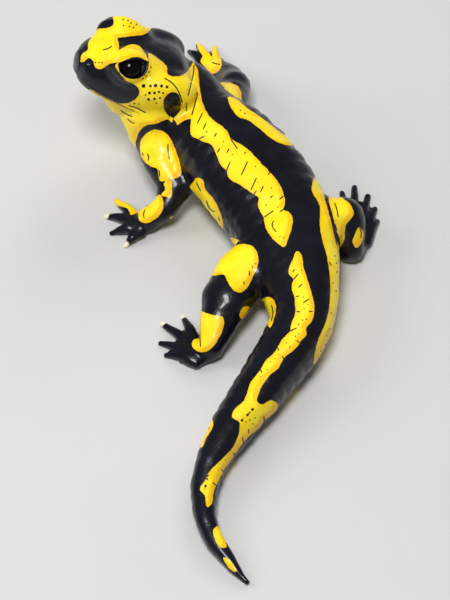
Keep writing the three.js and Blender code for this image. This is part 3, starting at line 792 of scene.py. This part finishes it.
def make_skin_mesh():
    form = bmesh.new()
    grid = swollen_solids()
    form.from_mesh(grid)
    bpy.data.meshes.remove(grid)
    keep_largest_shell(form)
    everywhere = np.ones(len(form.verts), bool)
    points = settle(coordinates(form), edge_pairs(form), everywhere, *FIRST_SETTLE)
    store(form, points)
    finer = ((fine_regions, FINE_ROUNDS), (fold_regions, FOLD_ROUNDS), (eye_regions, EYE_ROUNDS))
    for regions, rounds in finer:
        refine(form, regions(points))
        points = coordinates(form)
        points = settle(points, edge_pairs(form), regions(points), rounds, EVEN_OUT)
        store(form, points)
    bmesh.ops.triangulate(form, faces=[face for face in form.faces if len(face.verts) > 4])
    mesh = bpy.data.meshes.new("skin")
    form.to_mesh(mesh)
    form.free()
    mesh.shade_smooth()
    return mesh, points


skin_mesh, skin_points = make_skin_mesh()
skin = bpy.data.objects.new("skin", skin_mesh)
bpy.context.scene.collection.objects.link(skin)
skin_parts = np.argmin(np.stack(part_depths(skin_points)), axis=0)

# ------------------------------------------------------------------ the markings

# Outlines of the markings, in pixels of the 450 by 600 frame: yellow ones, then the black
# ones within them. Each names the parts of the body that it lies on.
YELLOW_MARKS = {
    "cap": (["head"], [
        (152, 27.5), (145, 34), (132, 36), (121, 37.3), (117.6, 37.8), (118.4, 42), (119.2, 50),
        (122.5, 47.8), (131, 44.5), (138, 45.3), (144.4, 52.2), (148.3, 61), (138, 57), (129, 58.5),
        (120, 62), (110, 63.7), (104, 67.5), (99, 69.2), (95, 67), (93, 61), (89, 58), (84, 61.5),
        (80.5, 62), (82, 54), (88, 49.5), (88, 43), (91, 38), (97, 29.5), (107, 28), (113, 25),
        (113.5, 14), (122, 2), (140, 12), (156, 20),
    ]),
    "cheek": (["head", "trunk", "left_fore"], [
        (148.5, 53), (158, 58.5), (167, 67), (167.5, 74), (176, 76.5), (185, 73.5), (191, 66.5),
        (196, 66), (199, 90), (194, 117), (186, 119.5), (174.5, 125.5), (168, 119.5), (156, 124),
        (149, 124.5), (141, 129), (136, 141), (135, 150), (127, 152), (118, 135), (110, 118), (96, 104),
        (86, 92), (90, 89.5), (104, 97), (117, 103), (128, 103), (137, 97.5), (139.5, 90.5),
        (134, 84.5), (124, 79.5), (135, 80), (146, 73.5), (149, 62),
    ]),
    "lid": (["head"], [
        (115.3, 65), (118.2, 71.5), (122.5, 76.5), (126, 79.5), (136, 83), (136, 76), (125, 70),
        (119, 63),
    ]),
    "dorsal_front": (["trunk", "head"], [
        (193.5, 62), (198, 78), (203, 104), (211, 118), (223, 127), (228.5, 133), (230.5, 138),
        (247, 148.5), (263, 165), (277, 180.5), (283, 192), (285, 204), (283.5, 209.5), (289, 212),
        (292.5, 219), (291.5, 229), (288, 239), (284.5, 247), (276, 242), (269, 233.5), (265, 225),
        (263.5, 217.5), (259.5, 210), (258, 203), (258.5, 197.5), (253, 194), (240, 185), (232.5, 181),
        (228, 176), (226.5, 170), (221.5, 166), (217, 156), (211, 144.5), (203, 141.5), (197, 138.5),
        (191.5, 136), (191, 110), (188, 80),
    ]),
    "dorsal_back": (["trunk"], [
        (297, 250.5), (301.5, 255), (303.5, 267), (310.5, 289), (314, 303), (314, 313), (311.5, 322),
        (306, 328), (306.5, 335), (300.5, 341), (298.5, 345), (291.5, 352), (283.5, 358.5), (279, 367),
        (268.5, 377), (260, 390), (257.5, 402), (262, 404.5), (271, 400), (278, 405), (274, 413),
        (265, 420), (260, 427), (250, 435.5), (240, 447), (232, 459), (223.5, 471), (219, 480),
        (214, 491), (211.5, 504), (207, 507), (204.5, 495), (199.5, 489), (205.5, 480), (210, 471),
        (221, 460), (233, 447), (239, 433), (239, 422), (232, 417), (234, 410), (244.5, 400),
        (248.5, 388), (251, 381.5), (259.5, 371), (265.5, 361), (275, 352), (278.5, 345.5),
        (283.5, 338), (290.5, 331), (290.5, 327), (295.5, 312), (295, 302), (294.5, 296.5), (292, 290),
        (292, 284), (293.5, 279.5), (289, 274), (289, 268), (292.5, 260),
    ]),
    "left_flank": (["trunk"], [
        (197, 178), (203, 180), (205, 189), (213, 198), (220, 212), (223, 224), (221, 234), (213, 226),
        (204, 212), (196, 200), (188, 192), (193, 182),
    ]),
    "left_spot": (["trunk"], [
        (225, 239), (233, 238), (240.5, 242), (237, 247), (230, 250), (222, 246),
    ]),
    "right_shoulder": (["trunk"], [
        (228, 97), (237, 99), (246, 107), (262, 118), (280, 132), (297, 144), (289, 145.5),
        (273, 139.5), (259, 128), (248, 120), (239, 117), (232, 109),
    ]),
    "right_flank": (["trunk"], [
        (316, 176), (322, 185), (325, 200), (331, 220), (336, 238), (342, 256), (344, 285), (338, 318),
        (326, 345), (314, 364), (317, 344), (327, 318), (330.5, 292), (328, 262), (320, 228),
        (319.5, 205), (311.5, 190),
    ]),
    "tail_side": (["trunk"], [
        (211, 417), (213, 426), (206, 438), (201.5, 448), (197, 440), (203, 426),
    ]),
    "tail_oval": (["trunk"], [
        (217.5, 526), (223, 533), (226.5, 547), (220, 547), (214, 537), (213.5, 529),
    ]),
    "tail_dash": (["trunk"], [(223, 557.5), (230, 560), (237, 573), (229, 568)]),
    "hip_drop": (["trunk"], [
        (259, 304), (262.5, 299), (268, 297), (273.5, 299.5), (276, 307), (275, 315), (270, 328),
        (265, 318),
    ]),
    "left_arm": (["left_fore", "trunk"], [
        (147, 133), (156, 129.5), (167, 134), (175, 149), (181, 168), (180, 176), (168, 180),
        (160, 181), (157, 169), (149, 165.5), (141.5, 157), (140.5, 142),
    ]),
    "left_elbow": (["left_fore"], [
        (163.5, 184), (171, 180.5), (172, 189), (171, 198), (166, 197), (161, 194.5), (165.5, 189),
    ]),
    "left_wrist": (["left_fore"], [
        (160, 195), (163.5, 205), (160, 215), (147, 223), (139.5, 221), (137.5, 213), (131, 215),
        (128, 209), (113, 204), (114, 199), (130, 199), (145, 207), (152, 200),
    ]),
    "left_dot": (["left_fore"], [(169.5, 217), (172, 216), (173.5, 219), (171, 220)]),
    "right_hand": (["right_fore"], [
        (197, 42), (206, 48), (212, 57), (211.5, 48), (214, 43), (218, 44), (221, 58), (221, 67),
        (213, 74), (206, 68), (200.5, 61), (202.5, 56), (198.5, 50),
    ]),
    "right_arm": (["right_fore"], [
        (216, 84), (228, 82.5), (239, 87.5), (241, 104), (230, 98), (221, 91),
    ]),
    "left_thigh": (["left_hind", "trunk"], [
        (209.5, 275.5), (215, 265), (223, 254), (232, 247), (243, 244), (254, 247.5), (258.5, 260),
        (252, 279), (246, 289), (238, 292.5), (230, 286), (224, 275),
    ]),
    "left_shank": (["left_hind"], [
        (199.5, 311), (206, 313), (215, 315.5), (223, 317), (224, 325), (220, 336), (212, 348),
        (205, 352), (197, 351), (192, 346), (193.5, 339.5), (199, 338),
    ]),
    "left_knee": (["left_hind"], [
        (239.5, 317), (241, 310), (245, 306.5), (250, 306.5), (246, 314), (242, 319),
    ]),
    "right_thigh": (["right_hind"], [
        (329, 197), (338, 196.5), (349, 203), (353.5, 214), (345.5, 226), (344, 240), (339.5, 247),
        (336, 233), (332.5, 214),
    ]),
    "right_ankle": (["right_hind"], [
        (359, 227.5), (363.5, 232), (361.5, 243), (356, 248), (352.5, 242), (355, 234),
    ]),
}
BLACK_MARKS = {
    "temple": (["head", "trunk"], [
        (172, 92), (178, 94), (181, 101), (180.5, 109), (177, 114.5), (174.6, 118), (177, 127),
        (172, 127), (172.8, 118), (168.5, 115.5), (164.5, 110), (163.5, 102), (166, 96),
    ]),
}
PALE_TIPS = {"left_fore": (1, 3), "left_hind": (0, 1)}  # digits whose ends are pale
PALE_REACH = (1.25, 0.85)  # millimetres from a tip at which the pale spot ends and is full
PALE_HEIGHT = 0.8
LID_EDGE = 0.22  # width of the dark edge of the lids

# How far a marking reaches round past the edge of what the camera sees, in radians
WRAP = {
    "right_flank": 0.9, "left_flank": 0.7, "cheek": 0.75, "cap": 0.6, "hip_drop": 0.5, "tail_side": 0.5,
}
PLAIN_WRAP = 0.28
OUTLINE_STEPS = 6  # samples of an outline between two of its points
MARK_REACH = 40  # pixels round a marking's box where its distance is worked out
PAINTED_SHADE_SHIFT = np.array([4.5, 3.0])  # pixels from a place to where the yellow's edge is looked for: painted shade darkens the yellow's lower right edges in the camera's view
TURN_ROUND = 7.0  # millimetres of skin to a radian at the edge of what the camera sees

# How squarely the skin faces the camera, as a cosine: from where it counts as seen, where the
# head's far side takes the mirrored markings, and where the painted shade on the yellow's edges fades out
SHOWN = 0.05
FAR_SIDE = (0.2, -0.15)
PAINTED_SHADE_FADE = (0.35, 0.05)

# Markings on the sides that the camera doesn't see: a place on the body's plan, then radii
HIDDEN_MARKS = [
    ((10.0, 20.0, 2.0), (5.0, 7.0, 4.0)),
    ((2.0, 44.0, 3.0), (4.0, 6.0, 5.0)),
    ((26.0, 30.0, 4.0), (5.0, 6.0, 3.0)),
    ((14.0, 56.0, 9.0), (4.0, 8.0, 4.0)),
    ((18.0, -28.0, 3.5), (4.0, 6.0, 3.0)),
    ((2.0, -52.0, 2.0), (3.0, 5.0, 3.0)),
    ((-16.0, 66.0, 9.0), (9.0, 7.0, 5.0)),
]


def outline_distance(points, outline):
    """Distance inside a closed outline, negative outside it."""
    line = smooth_curve(outline, closed=True, steps=OUTLINE_STEPS)
    start, end = line, np.roll(line, -1, axis=0)
    run = end - start
    offset = points[:, None] - start[None]
    share = np.clip(dot(offset, run[None]) / np.maximum(dot(run, run), TINY)[None], 0, 1)
    nearest = np.sqrt(((offset - share[..., None] * run[None]) ** 2).sum(-1)).min(1)
    below = (start[None, :, 1] <= points[:, None, 1]) != (end[None, :, 1] <= points[:, None, 1])
    turn = run[None, :, 0] * offset[..., 1] - run[None, :, 1] * offset[..., 0]
    crossing = below & ((turn > 0) == (run[None, :, 1] < 0))
    inside = crossing.sum(1) % 2 == 1
    return np.where(inside, nearest, -nearest)


def mark_field(marks, places, facing, parts):
    """Distance inside the nearest of the marks, in millimetres, negative outside them."""
    field = np.full(len(places), -FAR)
    for name, (on, outline) in marks.items():
        line = np.array(outline)
        close = np.all((places > line.min(0) - MARK_REACH) & (places < line.max(0) + MARK_REACH), axis=1)
        close &= np.isin(parts, [PARTS.index(part) for part in on])
        index = np.nonzero(close)[0]
        if not len(index):
            continue
        groups = np.array_split(places[index], len(index) // CHUNK_POINTS + 1)
        inside = np.concatenate([outline_distance(group, line) for group in groups]) / PIXELS_PER_MM
        turned = (facing[index] + WRAP.get(name, PLAIN_WRAP)) * TURN_ROUND
        field[index] = np.maximum(field[index], np.minimum(inside, turned))
    return field


def vertex_normals(mesh):
    normals = np.zeros(len(mesh.vertices) * 3)
    mesh.vertices.foreach_get("normal", normals)
    return normals.reshape(-1, 3)


def yellow_field(points, normals, parts):
    """Distance inside the yellow, with the head's unseen side mirrored from the seen one."""
    toward = unit(camera_place - points)
    facing = dot(normals, toward)

    def field(places, shown):
        yellow = mark_field(YELLOW_MARKS, places, shown, parts)
        return np.minimum(yellow, -mark_field(BLACK_MARKS, places, shown, parts))

    direct = field(seen(points), facing)
    local = in_head(points)
    on_head = parts == PARTS.index("head")
    other_side = from_head(local * (1, 1, -1))
    other_normals = from_head(in_head(SNOUT + normals) * (1, 1, -1)) - SNOUT
    mirror = field(seen(other_side), dot(other_normals, unit(camera_place - other_side)))
    hidden = smoothstep(facing, *FAR_SIDE) * (local[:, 2] < 0) * on_head
    result = direct * (1 - hidden) + mirror * hidden
    for place, radii in HIDDEN_MARKS:
        patch = np.minimum(-ellipsoid_depth(points, np.array(place), radii), -facing * TURN_ROUND)
        result = np.maximum(result, patch)
    return np.minimum(result, rim_distance(points) - LID_EDGE)


def painted_shade_field(points, normals, parts):
    """Distance inside the yellow of a place a little to the right and below, in the camera's view, which
    lays painted shade along the yellow's lower right edges; on the sides turned from the camera it is far
    inside, so there is none.
    """
    facing = dot(normals, unit(camera_place - points))
    beside = mark_field(YELLOW_MARKS, seen(points) + PAINTED_SHADE_SHIFT, np.ones(len(points)), parts)
    return beside + FAR * smoothstep(facing, *PAINTED_SHADE_FADE)


def tip_field(points):
    """One on the pale ends of some digits, none elsewhere."""
    pale = np.zeros(len(points))
    for name, digits in PALE_TIPS.items():
        for digit in digits:
            tip = np.array([*LIMBS[name]["tips"][digit], PALE_HEIGHT])
            pale = np.maximum(pale, smoothstep(np.linalg.norm(points - tip, axis=1), *PALE_REACH))
    return pale


def mouth_fields(points, parts):
    """Height over the line of the mouth, in millimetres, and one along its length."""
    local = in_head(points)
    on_head = (parts == PARTS.index("head")) & (local[:, 1] > MOUTH_FLOOR)
    return mouth_height(local), fade(local[:, 0], MOUTH_END, MOUTH_LINE_FADE) * on_head


def write_field(mesh, name, values):
    mesh.attributes.new(name, "FLOAT", "POINT").data.foreach_set("value", values.astype(np.float32))


def carve_folds(mesh, points, normals, shown):
    """Draws the skin in along the deep folds."""
    side, along = fold_fields(points, shown, DEEP_FOLDS)
    cut = FOLD_CUT["depth"] * ridge(side, FOLD_CUT["width"]) * along
    points = points - normals * cut[:, None]
    mesh.vertices.foreach_set("co", ((points - PLAN_MIDDLE) * MM).ravel())
    mesh.update()
    return points


skin_normals = vertex_normals(skin_mesh)
skin_shown = dot(skin_normals, unit(camera_place - skin_points)) > SHOWN
skin_points = carve_folds(skin_mesh, skin_points, skin_normals, skin_shown)
fold_side, fold_along = fold_fields(skin_points, skin_shown, DEEP_FOLDS + SLIGHT_FOLDS)
mouth_up, mouth_along = mouth_fields(skin_points, skin_parts)
SKIN_FIELDS = {
    "yellow": yellow_field(skin_points, skin_normals, skin_parts),
    "shade": painted_shade_field(skin_points, skin_normals, skin_parts),
    "pores": pore_field(skin_points, skin_shown),
    "fold_side": fold_side,
    "fold_along": fold_along,
    "mouth_up": mouth_up,
    "mouth_along": mouth_along,
    "tips": tip_field(skin_points),
}
for field_name, field_values in SKIN_FIELDS.items():
    write_field(skin_mesh, field_name, field_values)

# ------------------------------------------------------------------ materials

# A Mix node has one set of sockets for numbers, one for vectors and one for colours
MIX_COLOUR_INPUTS = (0, 6, 7)
MIX_COLOUR_OUTPUT = 2


class Signal:
    """A shader value whose arithmetic adds Math nodes."""

    def __init__(self, paint, socket):
        self.paint, self.socket = paint, socket

    def _math(self, operation, *values):
        node = self.paint.node("ShaderNodeMath", {"operation": operation}, dict(enumerate(values)))
        return Signal(self.paint, node.outputs[0])

    def __add__(self, other):
        return self._math("ADD", self, other)

    def __sub__(self, other):
        return self._math("SUBTRACT", self, other)

    def __rsub__(self, other):
        return self._math("SUBTRACT", other, self)

    def __mul__(self, other):
        return self._math("MULTIPLY", self, other)

    def __abs__(self):
        return self._math("ABSOLUTE", self)

    __radd__ = __add__
    __rmul__ = __mul__

    def ramp(self, low, high):
        """0 at low, 1 at high and a smooth rise between them."""
        inputs = {"Value": self, "From Min": low, "From Max": high}
        node = self.paint.node("ShaderNodeMapRange", {"interpolation_type": "SMOOTHSTEP"}, inputs)
        return Signal(self.paint, node.outputs[0])


class Paint:
    """A material with one Principled surface, built node by node."""

    def __init__(self, name, **uniform):
        self.material = bpy.data.materials.new(name)
        self.material.use_nodes = True
        self.tree = self.material.node_tree
        self.surface = self.tree.nodes["Principled BSDF"]
        self.set(**uniform)

    def set(self, **values):
        """Sets or links the surface's sockets, whose names are written with underscores."""
        for name, value in values.items():
            self._feed(self.surface.inputs[name.replace("_", " ")], value)

    def _feed(self, socket, value):
        if isinstance(value, Signal):
            self.tree.links.new(value.socket, socket)
        else:
            socket.default_value = value

    def node(self, kind, settings=None, inputs=None):
        """A node of a kind, with its settings made first and then its sockets set or linked."""
        made = self.tree.nodes.new(kind)
        for name, value in (settings or {}).items():
            setattr(made, name, value)
        for name, value in (inputs or {}).items():
            self._feed(made.inputs[name], value)
        return made

    def field(self, name):
        made = self.node("ShaderNodeAttribute", {"attribute_name": name})
        return Signal(self, made.outputs["Fac"])

    def millimetres(self):
        place = self.node("ShaderNodeTexCoord").outputs["Object"]
        inputs = {0: Signal(self, place), "Scale": 1 / MM}
        return Signal(self, self.node("ShaderNodeVectorMath", {"operation": "SCALE"}, inputs).outputs[0])

    def noise(self, place, size, detail=3.0):
        inputs = {"Vector": place, "Scale": 1 / size, "Detail": detail, "Roughness": NOISE_ROUGHNESS}
        return Signal(self, self.node("ShaderNodeTexNoise", None, inputs).outputs["Fac"])

    def cells(self, place, size):
        inputs = {"Vector": place, "Scale": 1 / size}
        return Signal(self, self.node("ShaderNodeTexVoronoi", None, inputs).outputs["Distance"])

    def mix(self, share, first, second):
        """The first colour, and the second one where the share is 1."""
        inputs = dict(zip(MIX_COLOUR_INPUTS, (share, first, second)))
        made = self.node("ShaderNodeMix", {"data_type": "RGBA"}, inputs)
        return Signal(self, made.outputs[MIX_COLOUR_OUTPUT])

    def bump(self, height, depth, strength):
        inputs = {"Height": height, "Distance": depth * MM, "Strength": strength}
        return Signal(self, self.node("ShaderNodeBump", None, inputs).outputs["Normal"])


# The skin's finish: lengths are in millimetres, and a pair holds a noise's level or a distance
# at which something starts and one at which it is full
NOISE_ROUGHNESS = 0.55
GRAIN = {"size": 0.62, "edge": (0.05, 0.6)}
NOISE_SIZES = {"coarse": 6.0, "middle": 1.7, "fine": 0.45}
EDGE_STRAY = {"middle": 0.5, "fine": 0.16}
YELLOW_EDGE = (-0.06, 0.06)
BLACK_WEAR = (0.35, 0.75)
YELLOW_WEAR = (0.35, 0.7)
# The rim turns the yellow orange near its edges, partly its own tint and partly painted shade, as though
# each stripe were round; the painted shade darkens the yellow's lower right edges, as if lit from the
# upper left
RIM_TINT_AND_SHADE = {"reach": (1.3, 0.0), "patches": (0.25, 0.7), "share": 0.8}
PAINTED_SHADE = {"stray": 0.9, "edge": (0.25, -0.25), "share": 0.75}
SPECKS = {"size": 2.3, "edge": (0.1, 0.06), "patch_size": 9.0, "patches": (0.52, 0.6)}
PORE_EDGE = (0.07, -0.07)
# the mouth's line of painted shade: none at the first height over the line, full at the second
LIP_SHADE_LINE = (0.2, 0.08)
FOLD_SHADE_LINE = 0.16  # half the width of a fold's line of painted shade
FOLD_SOFT = 0.05
SKIN_RELIEF = {"grain": 0.35, "fine": 0.35, "middle": 0.5, "yellow": 0.18}
SKIN_BUMP = {"depth": 0.12, "strength": 0.6}
SKIN_ROUGHNESS = {"least": 0.25, "fine": 0.14, "yellow": 0.12}
BLACK_DEEP = (0.002, 0.002, 0.006, 1)
BLACK_WORN = (0.005, 0.005, 0.012, 1)
YELLOW_FULL = (0.93, 0.68, 0.004, 1)
YELLOW_PALE = (0.96, 0.77, 0.02, 1)
# orange for the yellow's edge tint and for its painted shade
ORANGE_TINT_AND_SHADE = (0.86, 0.47, 0.003, 1)
TIP_PALE = (0.82, 0.76, 0.55, 1)
IRIS_DARK = (0.001, 0.0008, 0.0006, 1)
IRIS_BROWN = (0.008, 0.0045, 0.002, 1)
IRIS_FIBRES = {"size": 0.7, "detail": 6.0, "edge": (0.4, 0.8)}
FLOOR_TONES = ((0.56, 0.56, 0.555, 1), (0.59, 0.59, 0.585, 1))
FLOOR_PATCHES = 40.0


def skin_paint():
    """Wet, finely pored skin: glossy black with warm yellow markings, with painted shade on the yellow's
    edges, in the folds and along the mouth.
    """
    paint = Paint("wet_skin", Coat_Weight=0.3, Coat_Roughness=0.12, Specular_IOR_Level=0.25)
    place = paint.millimetres()
    grain = paint.cells(place, GRAIN["size"])
    coarse = paint.noise(place, NOISE_SIZES["coarse"])
    middle = paint.noise(place, NOISE_SIZES["middle"])
    fine = paint.noise(place, NOISE_SIZES["fine"], detail=2.0)
    stray = (middle - 0.5) * EDGE_STRAY["middle"] + (fine - 0.5) * EDGE_STRAY["fine"]
    inside = paint.field("yellow") + stray
    yellow = inside.ramp(*YELLOW_EDGE)
    # Orange towards the yellow's edges, partly its own tint and partly painted shade of the stripes'
    # roundness; then painted shade along its lower right edges
    rim = inside.ramp(*RIM_TINT_AND_SHADE["reach"]) * middle.ramp(*RIM_TINT_AND_SHADE["patches"]) * RIM_TINT_AND_SHADE["share"]
    shade = (paint.field("shade") + (middle - 0.5) * PAINTED_SHADE["stray"]).ramp(*PAINTED_SHADE["edge"]) * PAINTED_SHADE["share"]
    black = paint.mix(coarse.ramp(*BLACK_WEAR), BLACK_DEEP, BLACK_WORN)
    warm = paint.mix(coarse.ramp(*YELLOW_WEAR), YELLOW_FULL, YELLOW_PALE)
    warm = paint.mix(rim, warm, ORANGE_TINT_AND_SHADE)
    warm = paint.mix(shade, warm, ORANGE_TINT_AND_SHADE)
    patches = paint.noise(place, SPECKS["patch_size"]).ramp(*SPECKS["patches"])
    specks = paint.cells(place, SPECKS["size"]).ramp(*SPECKS["edge"]) * patches
    pores = paint.field("pores").ramp(*PORE_EDGE) * yellow
    # Painted shade: a fine dark line in each fold's crease
    reach = paint.field("fold_along") * (FOLD_SHADE_LINE + FOLD_SOFT) - FOLD_SOFT
    fold = (reach - abs(paint.field("fold_side"))).ramp(-FOLD_SOFT, FOLD_SOFT)
    # painted shade along the mouth's line
    lips = abs(paint.field("mouth_up")).ramp(*LIP_SHADE_LINE) * paint.field("mouth_along")
    # The dark specks and pores, and the painted shade of the folds and the mouth, darken the colour
    # together
    dark = (specks + pores + fold + lips).ramp(0.0, 1.0)
    colour = paint.mix(dark, paint.mix(yellow, black, warm), BLACK_DEEP)
    colour = paint.mix(paint.field("tips"), colour, TIP_PALE)
    relief = grain.ramp(*GRAIN["edge"]) * SKIN_RELIEF["grain"] + fine * SKIN_RELIEF["fine"]
    relief = relief + middle * SKIN_RELIEF["middle"] + yellow * SKIN_RELIEF["yellow"] - fold
    roughness = SKIN_ROUGHNESS["least"] + fine * SKIN_ROUGHNESS["fine"]
    roughness = roughness + yellow * SKIN_ROUGHNESS["yellow"]
    paint.set(Base_Color=colour, Roughness=roughness, Normal=paint.bump(relief, **SKIN_BUMP))
    return paint.material


def eye_paint():
    """A near-black eye with a trace of dark brown iris under a clear wet cornea."""
    paint = Paint("wet_eye", Roughness=0.04, Specular_IOR_Level=0.2)
    fibres = paint.noise(paint.millimetres(), IRIS_FIBRES["size"], IRIS_FIBRES["detail"])
    paint.set(Base_Color=paint.mix(fibres.ramp(*IRIS_FIBRES["edge"]), IRIS_DARK, IRIS_BROWN))
    return paint.material


def floor_paint():
    """A plain pale floor whose tone drifts very slightly."""
    paint = Paint("pale_floor", Roughness=0.6)
    drift = paint.noise(paint.millimetres(), FLOOR_PATCHES)
    paint.set(Base_Color=paint.mix(drift, *FLOOR_TONES))
    return paint.material


# ------------------------------------------------------------------ pieces

EYE_SEGMENTS = 64
EYE_RINGS = 32
CORNEA_LIFT = 0.35
CORNEA_HALF = 2.6
CORNEA_EDGE = 4  # exponent of the cornea's rise: more makes its edge steeper


def make_eye(name, side):
    """An eyeball with a slightly raised cornea, turned to look out of the head."""
    centre, back, up, out = eye_axes(side)
    ball = bmesh.new()
    bmesh.ops.create_uvsphere(ball, u_segments=EYE_SEGMENTS, v_segments=EYE_RINGS, radius=EYE_RADIUS)
    turn = Matrix(np.stack([back, np.cross(out, back), out], axis=1).tolist())
    for vertex in ball.verts:
        aside = math.hypot(vertex.co.x, vertex.co.y)
        if vertex.co.z > 0:
            vertex.co *= 1 + CORNEA_LIFT / EYE_RADIUS * math.exp(-((aside / CORNEA_HALF) ** CORNEA_EDGE))
        vertex.co = (turn @ vertex.co + Vector(centre - PLAN_MIDDLE)) * MM
    mesh = bpy.data.meshes.new(name)
    ball.to_mesh(mesh)
    ball.free()
    mesh.shade_smooth()
    eye = bpy.data.objects.new(name, mesh)
    bpy.context.scene.collection.objects.link(eye)
    return eye


def dress(piece, material, slot, *nodes):
    piece.data.materials.append(material)
    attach(piece, "root")
    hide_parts(*nodes)


flesh = [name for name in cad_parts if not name.startswith("eye")]
dress(skin, skin_paint(), "black_skin", *flesh)
eye_material = eye_paint()
for eye_name, eye_side in (("eye_left", 1), ("eye_right", -1)):
    dress(make_eye(f"{eye_name}_ball", eye_side), eye_material, "eye", eye_name)

# ------------------------------------------------------------------ the studio

FLOOR_SIZE = 6.0
WORLD_LIGHT = 0.2
LIGHT_TARGET = (0, 0, 0.01)
LIGHTS = {
    "key": {"place": (-0.08, -0.2, 0.75), "size": 0.26, "power": 4.5, "mirrored": True},
    "side": {"place": (-0.7, 0.1, 0.45), "size": 0.5, "power": 3.0, "mirrored": False},
    "back": {"place": (0.25, 0.7, 0.5), "size": 0.5, "power": 3.0, "mirrored": False},
}


def make_floor():
    bpy.ops.mesh.primitive_plane_add(size=FLOOR_SIZE)
    floor = bpy.context.object
    floor.name = "floor"
    floor.data.materials.append(floor_paint())


def make_lights():
    for name, light in LIGHTS.items():
        data = bpy.data.lights.new(name, "AREA")
        data.energy = light["power"]
        data.shape = "DISK"
        data.size = light["size"]
        lamp = bpy.data.objects.new(name, data)
        lamp.visible_glossy = light["mirrored"]
        lamp.location = light["place"]
        toward = Vector(LIGHT_TARGET) - Vector(light["place"])
        lamp.rotation_euler = toward.to_track_quat("-Z", "Y").to_euler()
        bpy.context.scene.collection.objects.link(lamp)
    world = bpy.data.worlds.new("studio")
    world.use_nodes = True
    background = world.node_tree.nodes["Background"]
    background.inputs["Color"].default_value = (1, 1, 1, 1)
    background.inputs["Strength"].default_value = WORLD_LIGHT
    bpy.context.scene.world = world
    bpy.context.scene.view_settings.view_transform = "Standard"


def make_camera():
    data = bpy.data.cameras.new("camera")
    data.sensor_width = SENSOR
    data.lens = focal_pixels * SENSOR / max(FRAME_SIZE)
    data.clip_start = NEAREST_SHOWN
    camera = bpy.data.objects.new("camera", data)
    bpy.context.scene.collection.objects.link(camera)
    axes = np.stack([camera_right, camera_up, camera_back], axis=1)
    stand = Matrix.Translation(Vector((camera_place - PLAN_MIDDLE) * MM))
    camera.matrix_world = stand @ Matrix(axes.tolist()).to_4x4()
    bpy.context.scene.camera = camera


make_floor()
make_lights()
make_camera()
